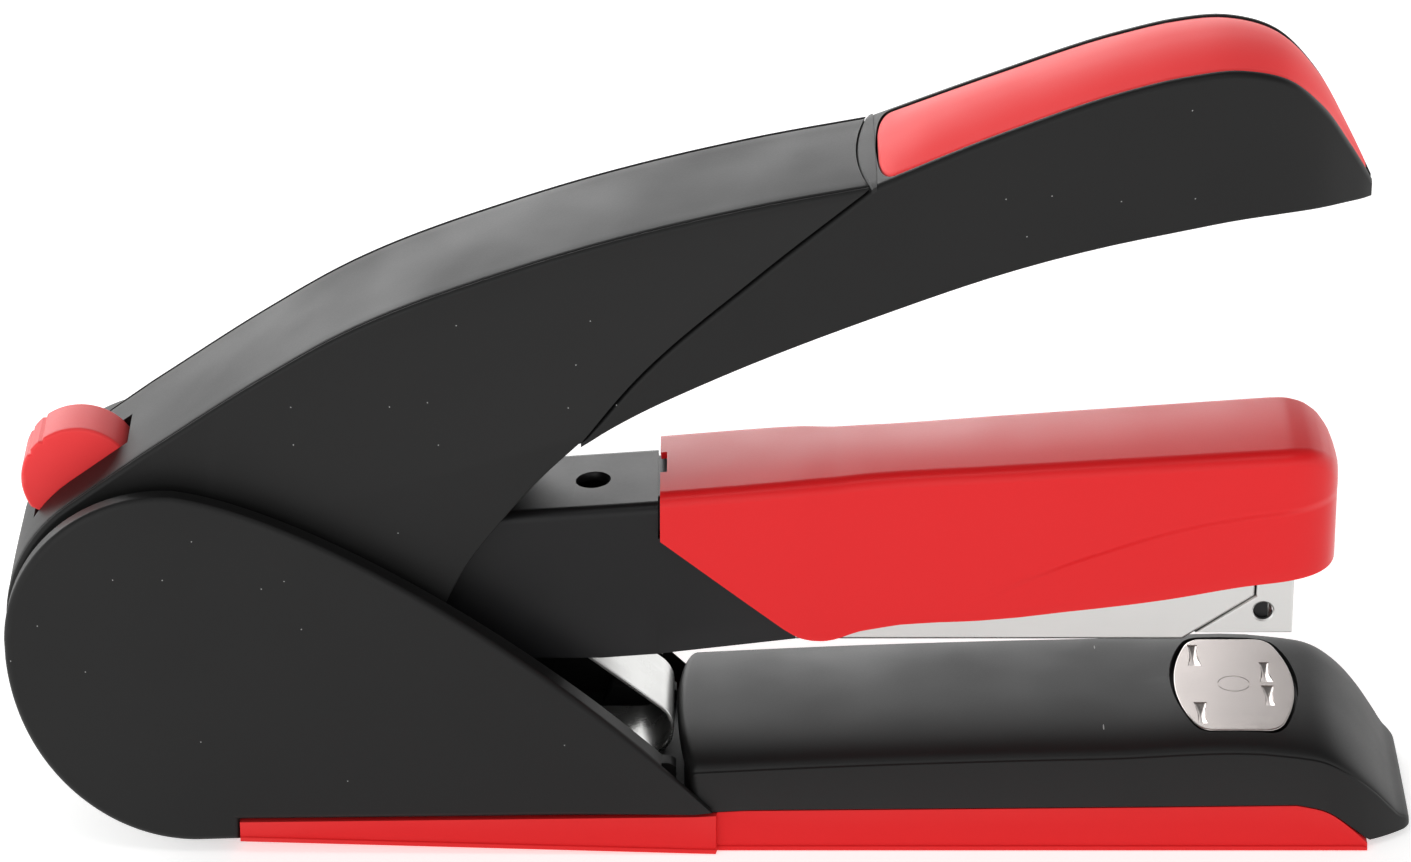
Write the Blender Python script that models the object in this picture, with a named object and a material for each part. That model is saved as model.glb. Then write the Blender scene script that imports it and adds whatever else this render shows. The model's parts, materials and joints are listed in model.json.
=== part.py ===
"""A lever stapler, at rest, with every piece as its own solid.

X points forward, towards the anvil end. Y is across, with the stapler symmetric about Y = 0. Z is up.
The origin is the centre of the footprint, on the surface that the stapler stands on.
Sizes are in millimetres and become metres where a mesh is made.
"""

import math

import bmesh
import bpy
from mathutils import Vector

MM = 0.001

# Overall sizes. The outlines are drawn for DRAWN_LENGTH, and any other LENGTH is gained or lost
# in the plain middle of the stapler, between STRETCH_START and STRETCH_END.
LENGTH = 191.2
DRAWN_LENGTH = 191.2
STRETCH_START = 38.0
STRETCH_END = 48.0
BASE_HALF = 17.0
CHEEK_OUTER = 18.0
CHEEK_THICK = 3.8
HANDLE_HALF = 12.0
GAP = 0.3
EASE = 0.6

REAR_X = -DRAWN_LENGTH / 2
FRONT_X = DRAWN_LENGTH / 2
HEEL_X = REAR_X + 31.2

# The two hinge lines
TAIL_R = 22.3
HANDLE_PIVOT = (REAR_X + TAIL_R, 32.5)
ARM_PIVOT = (HANDLE_PIVOT[0] - 12.2, 25.5)
HANDLE_STUB_R = 2.5
ARM_PIN_R = 1.6

# Walls and sheet
HOOD_WALL = 2.2
BASE_WALL = 2.2
LEVER_WALL = 2.0
TRAY_TOP = 8.4
SOLE_TOP_REAR = 5.0
SOLE_TOP_FRONT = 7.0
BRACKET_SHEET = 1.2
BRACKET_OUTER = 13.9
ARM_SHEET = 1.2
ARM_OUTER = 8.9
NOSE_WALL = 1.4
NOSE_SIDE_WALL = 1.0
NOSE_TOP_HALF = 9.2
NOSE_FLARE = 0.05

# The magazine, its drawer and the staples that they hold (12.7 mm crown, 6 mm leg)
CROWN_HALF = 6.35
MAG_SHEET = 0.6
MAG_INNER = CROWN_HALF + 0.15
MAG_OUTER = MAG_INNER + MAG_SHEET
MAG_BOTTOM = 27.5
MAG_TOP = 39.5
MAG_FRONT_X = 78.8
RAIL_HALF = CROWN_HALF - 0.95
RAIL_TOP = 34.2
RAIL_FRONT_X = 75.6
BLADE_X = 76.3
BLADE_THICK = 0.6

# The anvil
ANVIL_X = 71.8
ANVIL_TOP = 16.8
ANVIL_THICK = 0.9
ANVIL_LENGTH = 16.6
ANVIL_WIDTH = 26.0
PLATEAU_R = 14.5
POST_R = 2.6

# Other round pieces
ROLLER_R = 3.0
ROLLER_PIN_R = 1.5
BUTTON_R = 8.2
BUTTON_HALF = 4.0
SCREW_R = 1.4
SCREW_HEAD_R = 2.6
BUTTON_PIN_R = 1.2
RIVET_R = 1.0
FRAME_SCREWS = (34.0, 52.0)
CHEEK_SCREWS = ((-52.0, 13.4), (-82.0, 16.5))
SOLE_SCREWS = ((20.0, -10.0), (20.0, 10.0), (52.0, -10.0), (52.0, 10.0))
BRACKET_RIVETS = (-74.0, -54.0)
BLADE_RIVETS = (67.0, 71.0)


# Materials

def finish(name, colour, roughness, metallic=0.0):
    """A plain Principled material."""
    material = bpy.data.materials.new(name)
    material.use_nodes = True
    shader = material.node_tree.nodes["Principled BSDF"]
    shader.inputs["Base Color"].default_value = (*colour, 1.0)
    shader.inputs["Roughness"].default_value = roughness
    shader.inputs["Metallic"].default_value = metallic
    material.diffuse_color = (*colour, 1.0)
    return material


def make_finishes():
    """Every finish that the stapler has, by name."""
    return {
        "black": finish("black_plastic", (0.03, 0.03, 0.032), 0.42),
        "red": finish("red_plastic", (0.72, 0.035, 0.04), 0.35),
        "grip": finish("red_grip", (0.85, 0.09, 0.1), 0.5),
        "sole": finish("red_sole", (0.62, 0.03, 0.035), 0.6),
        "rubber": finish("black_rubber", (0.02, 0.02, 0.02), 0.8),
        "steel": finish("plated_steel", (0.6, 0.6, 0.6), 0.3, 1.0),
        "black_steel": finish("black_steel", (0.035, 0.035, 0.04), 0.35, 0.6),
        "spring": finish("spring_steel", (0.55, 0.55, 0.55), 0.25, 1.0),
        "chrome": finish("chromed_steel", (0.75, 0.75, 0.75), 0.12, 1.0),
    }


# Outlines in the X-Z plane

def arc(centre, radius, start, end, steps):
    """Points along an arc, angles in degrees, anticlockwise from +X towards +Z."""
    points = []
    for index in range(steps + 1):
        angle = math.radians(start + (end - start) * index / steps)
        points.append((centre[0] + radius * math.cos(angle), centre[1] + radius * math.sin(angle)))
    return points


def ellipse(centre, across, up, start, end, steps):
    """Points along a part of an ellipse whose axes lie along X and Z."""
    points = []
    for index in range(steps + 1):
        angle = math.radians(start + (end - start) * index / steps)
        points.append((centre[0] + across * math.cos(angle), centre[1] + up * math.sin(angle)))
    return points


def bezier(a, b, c, d, steps):
    """Points along a cubic from a to d."""
    points = []
    for index in range(steps + 1):
        t = index / steps
        weights = ((1 - t) ** 3, 3 * t * (1 - t) ** 2, 3 * t * t * (1 - t), t ** 3)
        points.append(tuple(sum(w * p[k] for w, p in zip(weights, (a, b, c, d))) for k in (0, 1)))
    return points


def curve_through(knots, steps):
    """A smooth line through the knots, with the given number of steps between two of them."""
    ends = [tuple(2 * knots[0][k] - knots[1][k] for k in (0, 1))]
    ends += knots
    ends.append(tuple(2 * knots[-1][k] - knots[-2][k] for k in (0, 1)))
    points = []
    for i in range(1, len(ends) - 2):
        before, a, b, after = ends[i - 1:i + 3]
        for index in range(steps):
            t = index / steps
            points.append(tuple(
                0.5 * (2 * a[k] + (b[k] - before[k]) * t
                       + (2 * before[k] - 5 * a[k] + 4 * b[k] - after[k]) * t * t
                       + (3 * a[k] - before[k] - 3 * b[k] + after[k]) * t ** 3)
                for k in (0, 1)))
    points.append(knots[-1])
    return points


def at(line, x):
    """The height of a line of (x, z) points at x; past its ends, the end's own height."""
    if x <= line[0][0]:
        return line[0][1]
    for a, b in zip(line, line[1:]):
        if x <= b[0]:
            return a[1] + (b[1] - a[1]) * (x - a[0]) / (b[0] - a[0])
    return line[-1][1]


def lowered(line, distance):
    """The line moved sideways by a distance, towards the right of its direction of travel."""
    moved = []
    for index, point in enumerate(line):
        a = line[max(index - 1, 0)]
        b = line[min(index + 1, len(line) - 1)]
        run = math.hypot(b[0] - a[0], b[1] - a[1])
        moved.append((point[0] + (b[1] - a[1]) / run * distance, point[1] - (b[0] - a[0]) / run * distance))
    return moved


def stations(start, end, count):
    """Evenly spaced positions from start to end."""
    return [start + (end - start) * index / (count - 1) for index in range(count)]


# Solids

def placed(point):
    """Where a drawn point lies once the middle of the stapler has its length."""
    extra = LENGTH - DRAWN_LENGTH
    share = min(1.0, max(0.0, (point[0] - STRETCH_START) / (STRETCH_END - STRETCH_START)))
    return point[0] + extra * (share - 0.5), point[1], point[2]


def solid(name, points, faces, material, pivot=None):
    """An object from drawn points in millimetres, with its origin at the pivot if it has one."""
    origin = placed(pivot) if pivot else (0.0, 0.0, 0.0)
    mesh = bpy.data.meshes.new(name)
    mesh.from_pydata([[(p[k] - origin[k]) * MM for k in range(3)] for p in map(placed, points)], [], faces)
    work = bmesh.new()
    work.from_mesh(mesh)
    bmesh.ops.remove_doubles(work, verts=work.verts, dist=0.000001)
    bmesh.ops.recalc_face_normals(work, faces=work.faces)
    work.to_mesh(mesh)
    work.free()
    if material:
        mesh.materials.append(material)
    made = bpy.data.objects.new(name, mesh)
    made.location = [value * MM for value in origin]
    bpy.context.scene.collection.objects.link(made)
    return made


def loft(name, loops, material=None, pivot=None):
    """A solid through closed loops that all have the same number of points."""
    count = len(loops[0])
    points = [point for loop in loops for point in loop]
    faces = [list(range(count))]
    for row in range(len(loops) - 1):
        first = row * count
        for index in range(count):
            after = (index + 1) % count
            faces.append([first + index, first + after, first + count + after, first + count + index])
    faces.append(list(range((len(loops) - 1) * count, len(loops) * count)))
    return solid(name, points, faces, material, pivot)


def plate(name, outline, low, high, material=None, pivot=None):
    """A flat plate with an outline in X-Z, between two values of Y."""
    loops = [[(x, y, z) for x, z in outline] for y in (low, high)]
    return loft(name, loops, material, pivot)


def slab(name, outline, low, high, material=None, pivot=None):
    """A flat slab with an outline in X-Y, between two heights."""
    loops = [[(x, y, z) for x, y in outline] for z in (low, high)]
    return loft(name, loops, material, pivot)


def block(name, low, high, material=None, pivot=None):
    """A block between two corners."""
    outline = [(low[0], low[2]), (high[0], low[2]), (high[0], high[2]), (low[0], high[2])]
    return plate(name, outline, low[1], high[1], material, pivot)


def turned(name, profile, base, axis, sides, material=None, pivot=None):
    """A closed turned solid: (distance along the axis, radius) pairs, from a point along a unit axis."""
    direction = Vector(axis)
    across = direction.orthogonal().normalized()
    if abs(direction.z) < 0.5:
        across = Vector((0, 0, 1))
    other = direction.cross(across)
    loops = []
    for along, radius in profile:
        loop = []
        for index in range(sides):
            angle = 2 * math.pi * index / sides
            spot = Vector(base) + direction * along
            spot += (across * math.cos(angle) + other * math.sin(angle)) * radius
            loop.append(tuple(spot))
        loops.append(loop)
    made = loft(name, loops, material, pivot)
    made.data.shade_smooth()
    made.data.set_sharp_from_angle(angle=math.radians(35))
    return made


def rod(name, base, axis, length, radius, sides=16, material=None, pivot=None):
    """A plain round rod."""
    return turned(name, [(0, radius), (length, radius)], base, axis, sides, material, pivot)


def helper(made):
    """Marks a solid as a cutter or a piece to join: it is never part of the stapler by itself."""
    made.hide_render = True
    made.display_type = "WIRE"
    return made


def combine(target, other, operation):
    """Adds a Boolean with the other solid, which becomes a helper."""
    helper(other)
    step = target.modifiers.new(operation.lower() + "_" + other.name, "BOOLEAN")
    step.operation = operation
    step.solver = "EXACT"
    step.object = other
    return target


def cut(target, other):
    """Takes the other solid away from the target."""
    return combine(target, other, "DIFFERENCE")


def join(target, other):
    """Adds the other solid to the target."""
    return combine(target, other, "UNION")


def hole(target, x, z, radius, half, sides=16):
    """A round hole across the target, along Y."""
    name = "cut_" + target.name + "_hole_" + str(len(target.modifiers))
    return cut(target, rod(name, (x, -half, z), (0, 1, 0), 2 * half, radius, sides))


def hole_up(target, x, y, low, high, radius, sides=16):
    """A round upright hole through the target."""
    name = "cut_" + target.name + "_bore_" + str(len(target.modifiers))
    return cut(target, rod(name, (x, y, low), (0, 0, 1), high - low, radius, sides))


# Lines of the side view that several pieces share

HOOD_TOP = arc(HANDLE_PIVOT, TAIL_R, 205, 141, 8)
HOOD_TOP += curve_through([
    (HANDLE_PIVOT[0] - 3.0, 58.0), (REAR_X + 35.6, 69.2), (REAR_X + 45.0, 75.0),
    (REAR_X + 70.5, 85.6), (REAR_X + 101.7, 94.3), (REAR_X + 116.9, 97.3)], 3)
SEAM = curve_through([(-17.6, 59.4), (-10.5, 68.6), (6.2, 84.4), (21.3, 97.3)], 3)
RIM = curve_through([
    (21.3, 97.3), (37.9, 104.2), (54.2, 110.1), (61.3, 111.9), (68.4, 112.6),
    (74.7, 111.0), (79.7, 106.4), (83.7, 100.0), (86.4, 95.0), (87.6, 92.6)], 2)
UNDERSIDE = curve_through([
    (-17.6, 58.4), (-1.7, 67.3), (24.7, 79.3), (56.3, 89.2), (74.7, 92.2), (83.7, 92.2), (87.6, 91.4)], 3)
LEVER_HALF = curve_through([
    (-17.6, 12.0), (21.3, 12.0), (36.0, 11.2), (54.0, 10.9), (66.0, 10.6),
    (74.7, 9.4), (79.7, 7.6), (83.7, 4.9), (86.4, 2.4), (87.6, 0.8)], 2)
NOSE_TOP = [(-7.1, 50.7), (20.0, 52.9), (75.2, 56.8), (79.5, 56.8), (82.2, 55.8), (84.6, 51.5)]
NOSE_LOW = curve_through([
    (-7.1, 44.1), (9.5, 31.0), (11.9, 29.5), (15.2, 28.9), (19.9, 30.2), (41.3, 32.2), (61.7, 34.9),
    (72.0, 37.1), (81.0, 38.7), (84.6, 41.4)], 2)
CREASE = curve_through([
    (-5.0, 12.1), (25.4, 13.5), (52.5, 14.3), (79.4, 14.5), (82.9, 13.8), (87.1, 11.5),
    (90.5, 8.7), (93.0, 5.6), (FRONT_X - 1.3, 2.9)], 2)
CROWN_RISE = 3.4
SOLE_SEAM = [(HEEL_X, SOLE_TOP_REAR), (-2.4, 5.8), (4.2, 6.2), (79.7, SOLE_TOP_FRONT)]
SOLE_SEAM += [(83.8, 5.9), (87.5, 3.0), (89.7, 0.8), (FRONT_X, 0.8)]
FRAME_SHEET = 1.0
FRAME_TOP = lowered(HOOD_TOP[12:-1], HOOD_WALL + 2.2) + [(25.0, 91.5), (40.0, 96.4), (58.0, 101.2)]


def arm_top(x):
    """The flat top of the driver arm, which climbs a little towards the front."""
    return 48.3 + 0.0734 * (x + 16.3)


def crown(x, y, low=0.0):
    """The domed top of the base at a place."""
    share = min(abs(y) / BASE_HALF, 1.0)
    return at(CREASE, x) + CROWN_RISE * math.sqrt(1 - share * share) - low


# Base

def base_section(x, half, sink, bottom):
    """One closed loop across the base at x: flat below, domed above."""
    top = [(y, crown(x, y * BASE_HALF / half, sink)) for y in stations(half, -half, 13)]
    side = [(-half, bottom), (half, bottom)]
    return [(x, y, z) for y, z in top + side]


def make_base(paint):
    """The base moulding: an arch at the front, a tray between the cheeks and a rounded heel."""
    rear = -4.9
    places = [rear, 4.2] + stations(15.0, 79.7, 6)
    places += [83.8, 86.0, 87.5, 88.6, 89.7, 91.4, 93.0, 94.2, FRONT_X - 0.5]
    outer = []
    for x in places:
        half = BASE_HALF - 1.6 * max(0.0, (x - 88.0) / 8) ** 2
        outer.append(base_section(x, half, 0.0, at(SOLE_SEAM, x) + GAP))
    outer.append([(FRONT_X, y * 0.92, 0.35 * z + 0.9) for x, y, z in outer[-1]])
    shell = loft("base_shell", outer, paint["black"])
    inner = []
    for x in stations(rear - 2, 82.0, 8) + [85.5, 88.0]:
        inner.append(base_section(x, BASE_HALF - BASE_WALL, BASE_WALL, 1.0))
    cut(shell, loft("cut_base_hollow", inner))
    tray = REAR_X + 30.0
    half = BRACKET_OUTER
    floor_line = [(tray, SOLE_TOP_REAR + GAP), (-2.4, 5.8 + GAP), (4.0, 6.2 + GAP)]
    floor_line += [(4.0, TRAY_TOP), (tray, 7.6)]
    join(shell, plate("add_tray", floor_line, -half, half))
    centre = (REAR_X + 25.3, 31.8)
    stop = HEEL_X - GAP
    heel = ellipse(centre, 24.0, 29.6, 215, 270, 8) + [(stop, 2.2), (stop, 6.8)]
    heel += ellipse(centre, 21.6, 27.2, 255, 215, 6)
    join(shell, plate("add_heel", heel, -half, half))
    for side in (-1, 1):
        rib = [(-16.0, 7.0), (-3.0, 7.0), (-3.0, 14.6), (-12.0, 14.6)]
        low, high = sorted((side * 9.6, side * 12.0))
        join(shell, plate("add_rib_" + str(side), rib, low, high))
    for x, y in SOLE_SCREWS:
        foot = at(SOLE_SEAM, x) + GAP
        join(shell, rod("add_boss_%d_%d" % (x, y), (x, y, foot), (0, 0, 1), 7.0, 3.0, 10))
        hole_up(shell, x, y, 0.0, foot + 5.7, SCREW_R + 0.1, 8)
    cut(shell, rod("cut_plateau", (ANVIL_X, 0, ANVIL_TOP - ANVIL_THICK - GAP), (0, 0, 1), 8, PLATEAU_R, 40))
    hole_up(shell, ANVIL_X, 0, 0.0, 30.0, POST_R + GAP, 16)


def cheek_outline():
    """The side plate, round at the pivot end, falling to a point at the front."""
    top = bezier((HANDLE_PIVOT[0] - 2.0, 54.9), (-56.0, 49.8), (-22.0, 30.0), (0.0, 6.2 + GAP), 10)
    line = arc(HANDLE_PIVOT, 22.0, 178, 100, 7)
    line += top
    line += [(-2.4, 5.8 + GAP), (HEEL_X, SOLE_TOP_REAR + GAP), (HEEL_X, 2.2)]
    line += ellipse((REAR_X + 25.3, 31.8), 25.0, 29.8, 270, 184, 9)
    return line


def make_cheeks(paint):
    """The two side plates that cover the pivots."""
    for name, side in (("cheek_right", -1), ("cheek_left", 1)):
        low, high = sorted((side * (CHEEK_OUTER - CHEEK_THICK), side * CHEEK_OUTER))
        plate_made = plate(name, cheek_outline(), low, high, paint["black"])
        clear = block("cut_" + name + "_arch",
                      (-7.0, min(side * 10, side * (BASE_HALF + GAP)), 0),
                      (8.0, max(side * 10, side * (BASE_HALF + GAP)), 40))
        cut(plate_made, clear)
        for x, z in CHEEK_SCREWS:
            hole(plate_made, x, z, SCREW_R + GAP, 17.0, 10)


def make_sole(paint):
    """The red sole under the base, with its feet."""
    places = [HEEL_X, -2.4, 4.2, 30.0, 55.0, 79.7, 83.8, 87.5, 88.6]
    loops = []
    for x in places:
        half = CHEEK_OUTER if x < 0 else BASE_HALF
        low = 2.0 * max(0.0, x / HEEL_X)
        high = at(SOLE_SEAM, x)
        loops.append([(x, -half, low), (x, half, low), (x, half, high), (x, -half, high)])
    sole = loft("base_sole", loops, paint["sole"])
    cut(sole, block("cut_sole_pocket", (8.0, -13.5, 2.0), (81.0, 13.5, 12.0)))
    for x, y in SOLE_SCREWS:
        join(sole, rod("add_sole_seat_%d_%d" % (x, y), (x, y, 1.0), (0, 0, 1), at(SOLE_SEAM, x) - 1.0, 3.4, 10))
        hole_up(sole, x, y, -1.0, 12.0, SCREW_R + GAP, 10)
        hole_up(sole, x, y, -1.0, 2.4, SCREW_HEAD_R + GAP, 12)
    hole_up(sole, ANVIL_X, 0, -1.0, 12.0, 6.0 + EASE, 20)
    for name, side in (("heel_foot_right", -1), ("heel_foot_left", 1)):
        rod(name, (REAR_X + 36.0, side * 10.0, 0.0), (0, 0, 1), 1.6, 4.0, 16, paint["rubber"])


def make_sole_screws(paint):
    """The four screws that hold the sole to the base."""
    profile = [(0, SCREW_HEAD_R), (1.2, SCREW_HEAD_R), (1.2, SCREW_R - 0.2), (9.5, SCREW_R - 0.2)]
    for number, (x, y) in enumerate(SOLE_SCREWS, 1):
        turned("sole_screw_%d" % number, profile, (x, y, 0.9), (0, 0, 1), 10, paint["steel"])


def bracket_outline():
    """One flange of the rear bracket, round over both hinge lines."""
    line = [(-40.0, TRAY_TOP + GAP), (-42.0, 13.0), (-50.0, 17.5), (-57.0, 20.0), (-64.0, 30.0)]
    line += arc(HANDLE_PIVOT, 6.5, 10, 125, 6)
    line += arc(ARM_PIVOT, 4.6, 130, 205, 4)
    line += [(ARM_PIVOT[0] - 1.3, 16.5), (-80.5, TRAY_TOP + GAP)]
    return line


def make_bracket(paint):
    """The folded steel bracket that stands in the tray and carries both hinges."""
    inner = BRACKET_OUTER - GAP - BRACKET_SHEET
    outer = BRACKET_OUTER - GAP
    floor = TRAY_TOP + GAP + BRACKET_SHEET
    bracket = plate("rear_bracket", bracket_outline(), -outer, outer, paint["steel"])
    inside = [(-110.0, floor), (-30.0, floor), (-30.0, 60.0), (-110.0, 60.0)]
    cut(bracket, plate("cut_bracket_inside", inside, -inner, inner))
    hole(bracket, *HANDLE_PIVOT, HANDLE_STUB_R + GAP, 30)
    hole(bracket, *ARM_PIVOT, ARM_PIN_R + GAP, 30)
    for x, z in CHEEK_SCREWS:
        hole(bracket, x, z, SCREW_R + GAP, 30, 10)
    for x in BRACKET_RIVETS:
        hole_up(bracket, x, 0, 5, 12, SCREW_R + GAP, 10)


def make_hinge_pins(paint):
    """The long pin of the arm and magazine, the two stubs of the handle, and the cheek screws."""
    reach = BRACKET_OUTER - GAP
    pivot = (ARM_PIVOT[0], 0.0, ARM_PIVOT[1])
    start = (ARM_PIVOT[0], -reach, ARM_PIVOT[1])
    rod("arm_pin", start, (0, 1, 0), 2 * reach, ARM_PIN_R, 14, paint["steel"], pivot)
    for name, side in (("handle_pin_right", -1), ("handle_pin_left", 1)):
        start = (HANDLE_PIVOT[0], side * (HANDLE_HALF - HOOD_WALL + 0.1), HANDLE_PIVOT[1])
        rod(name, start, (0, side, 0), reach - HANDLE_HALF + HOOD_WALL - 0.1, HANDLE_STUB_R, 16, paint["steel"])
    number = 0
    for x, z in CHEEK_SCREWS:
        for side in (-1, 1):
            number += 1
            profile = [(0, SCREW_HEAD_R - 0.4), (1.0, SCREW_HEAD_R - 0.4), (1.0, SCREW_R), (5.4, SCREW_R)]
            turned("cheek_screw_%d" % number, profile, (x, side * 11.1, z), (0, side, 0), 10, paint["steel"])
    for number, x in enumerate(BRACKET_RIVETS, 1):
        z = TRAY_TOP + GAP + BRACKET_SHEET + 0.1
        profile = [(0, SCREW_HEAD_R), (1.2, SCREW_HEAD_R)]
        turned("bracket_rivet_%d" % number, profile, (x, 0, z), (0, 0, 1), 12, paint["steel"])


# Anvil

def rounded_plate_outline(length, width, corner, steps=4):
    """A rectangle in X-Y with round corners, about the origin."""
    outline = []
    for centre_x, centre_y, start in ((1, 1, 0), (-1, 1, 90), (-1, -1, 180), (1, -1, 270)):
        centre = (centre_x * (length / 2 - corner), centre_y * (width / 2 - corner))
        outline += arc(centre, corner, start, start + 90, steps)
    return outline


def make_anvil(paint):
    """The turning anvil plate with its two pairs of pockets, its post and its lift spring."""
    low = ANVIL_TOP - ANVIL_THICK
    pivot = (ANVIL_X, 0, low)
    outline = [(ANVIL_X + x, y) for x, y in rounded_plate_outline(ANVIL_LENGTH, ANVIL_WIDTH, 5.0)]
    anvil = slab("anvil_plate", outline, low, ANVIL_TOP, paint["chrome"], pivot)
    hole_up(anvil, ANVIL_X, 0, low - 1, ANVIL_TOP + 1, 2.1 + GAP, 16)
    for along, inner, outer in ((-5.0, 4.2, 8.0), (5.0, 2.4, 6.4)):
        for side in (-1, 1):
            near, far = sorted((side * inner, side * outer))
            cut(anvil, block("cut_pocket_%d_%d" % (along, side), (ANVIL_X + along - 0.9, near, ANVIL_TOP - 0.4),
                             (ANVIL_X + along + 0.9, far, ANVIL_TOP + 1)))
    shoulder = low - 3.4 - GAP
    profile = [(0, 5.4), (1.6, 5.4), (1.6, POST_R), (shoulder, POST_R), (shoulder, 2.1), (low - 2.5, 2.1)]
    turned("anvil_post", profile, (ANVIL_X, 0, 2.6), (0, 0, 1), 16, paint["steel"], pivot)
    coil("anvil_spring", (ANVIL_X, 0, 4.7), (0, 0, 1), 7.6, 4.0, 0.4, 4, 10, paint["spring"])


def coil(name, base, axis, length, radius, wire, turns, per_turn, material, sides=4):
    """A round-wire coil spring with closed ends."""
    direction = Vector(axis)
    across = direction.orthogonal().normalized()
    other = direction.cross(across)
    loops = []
    count = turns * per_turn
    for index in range(count + 1):
        angle = 2 * math.pi * index / per_turn
        outward = across * math.cos(angle) + other * math.sin(angle)
        middle = Vector(base) + direction * (length * index / count) + outward * radius
        loop = []
        for corner in range(sides):
            turn = 2 * math.pi * corner / sides
            loop.append(tuple(middle + outward * wire * math.cos(turn) + direction * wire * math.sin(turn)))
        loops.append(loop)
    return loft(name, loops, material)


# Magazine and drawer

def make_magazine(paint):
    """The fixed channel: two walls and a floor, with ears round the rear hinge."""
    pivot = (ARM_PIVOT[0], 0.0, ARM_PIVOT[1])
    line = [(63.6, MAG_BOTTOM), (73.3, 34.1), (73.3, MAG_TOP), (-66.0, MAG_TOP), (-76.0, 36.0)]
    line += arc(ARM_PIVOT, 4.0, 80, 270, 8) + [(-78.0, MAG_BOTTOM - 2.6), (-74.0, MAG_BOTTOM)]
    channel = plate("magazine_channel", line, -MAG_OUTER, MAG_OUTER, paint["steel"], pivot)
    inside = [(-75.0, MAG_BOTTOM + MAG_SHEET), (80.0, MAG_BOTTOM + MAG_SHEET), (80.0, 60.0), (-100.0, 60.0)]
    inside += [(-100.0, 10.0), (-75.0, 10.0)]
    cut(channel, plate("cut_magazine_inside", inside, -MAG_INNER, MAG_INNER))
    hole(channel, *ARM_PIVOT, ARM_PIN_R + GAP, 20, 14)


def make_drawer(paint):
    """What slides out of the front: the rail that the staples straddle, its nose and its guide rod."""
    pivot = (ARM_PIVOT[0], 0.0, ARM_PIVOT[1])
    floor = MAG_BOTTOM + 1.0
    low = floor + 0.6 + GAP
    rear = -70.0
    line = [(rear, low), (RAIL_FRONT_X, low), (RAIL_FRONT_X, RAIL_TOP), (rear, RAIL_TOP)]
    rail = plate("drawer_rail", line, -RAIL_HALF, RAIL_HALF, paint["steel"], pivot)
    inside = [(rear + 1.2, low - 2), (RAIL_FRONT_X - 1.2, low - 2),
              (RAIL_FRONT_X - 1.2, RAIL_TOP - 0.8), (rear + 1.2, RAIL_TOP - 0.8)]
    cut(rail, plate("cut_rail_inside", inside, -RAIL_HALF + 0.8, RAIL_HALF - 0.8))
    cut(rail, block("cut_rail_slot", (-40.0, -1.5, RAIL_TOP - 2), (RAIL_FRONT_X - 2.0, 1.5, RAIL_TOP + 2)))
    line = [(65.7, floor), (MAG_FRONT_X, floor), (MAG_FRONT_X, 37.6), (74.2, 37.6), (74.2, 34.27)]
    front = plate("drawer_front", line, -MAG_OUTER, MAG_OUTER, paint["steel"], pivot)
    cut(front, block("cut_front_inside", (50.0, -MAG_INNER, floor + 0.6), (MAG_FRONT_X - 0.7, MAG_INNER, 60.0)))
    cut(front, block("cut_front_exit", (BLADE_X - 0.5, -MAG_INNER, 0.0), (MAG_FRONT_X - 0.7, MAG_INNER, 60.0)))
    hole(front, 74.7, 31.7, 1.35, 20, 12)
    rod("guide_rod", (rear + 1.2 + GAP, 0, low + 2.0), (1, 0, 0), RAIL_FRONT_X - rear - 2.4 - 2 * GAP, 0.8, 8,
        paint["steel"], pivot)
    half = RAIL_HALF + 0.25
    line = [(RAIL_FRONT_X - 14.0, low), (RAIL_FRONT_X - 0.2, low), (RAIL_FRONT_X - 0.2, RAIL_TOP + 0.9),
            (RAIL_FRONT_X - 14.0, RAIL_TOP + 0.9)]
    pusher = plate("pusher", line, -half - 0.5, half + 0.5, paint["black_steel"], pivot)
    cut(pusher, block("cut_pusher_inside", (0, -half, 0), (100, half, RAIL_TOP + 0.3)))
    tongue = block("add_pusher_tongue", (RAIL_FRONT_X - 13.0, -1.2, low),
                   (RAIL_FRONT_X - 3.0, 1.2, RAIL_TOP + 0.7))
    join(pusher, tongue)
    cut(pusher, rod("cut_pusher_bore", (0, 0, low + 2.0), (1, 0, 0), 100, 1.05, 8))
    coil("pusher_spring", (rear + 1.2 + GAP + 0.4, 0, low + 2.0), (1, 0, 0),
         RAIL_FRONT_X - 14.0 - rear - 2.4, 1.55, 0.3, 22, 8, paint["spring"])
    block("drawer_catch", (-77.4, -2.5, 29.0), (-70.6, 2.5, 29.8), paint["spring"], pivot)


# Driver arm and its cover

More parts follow.
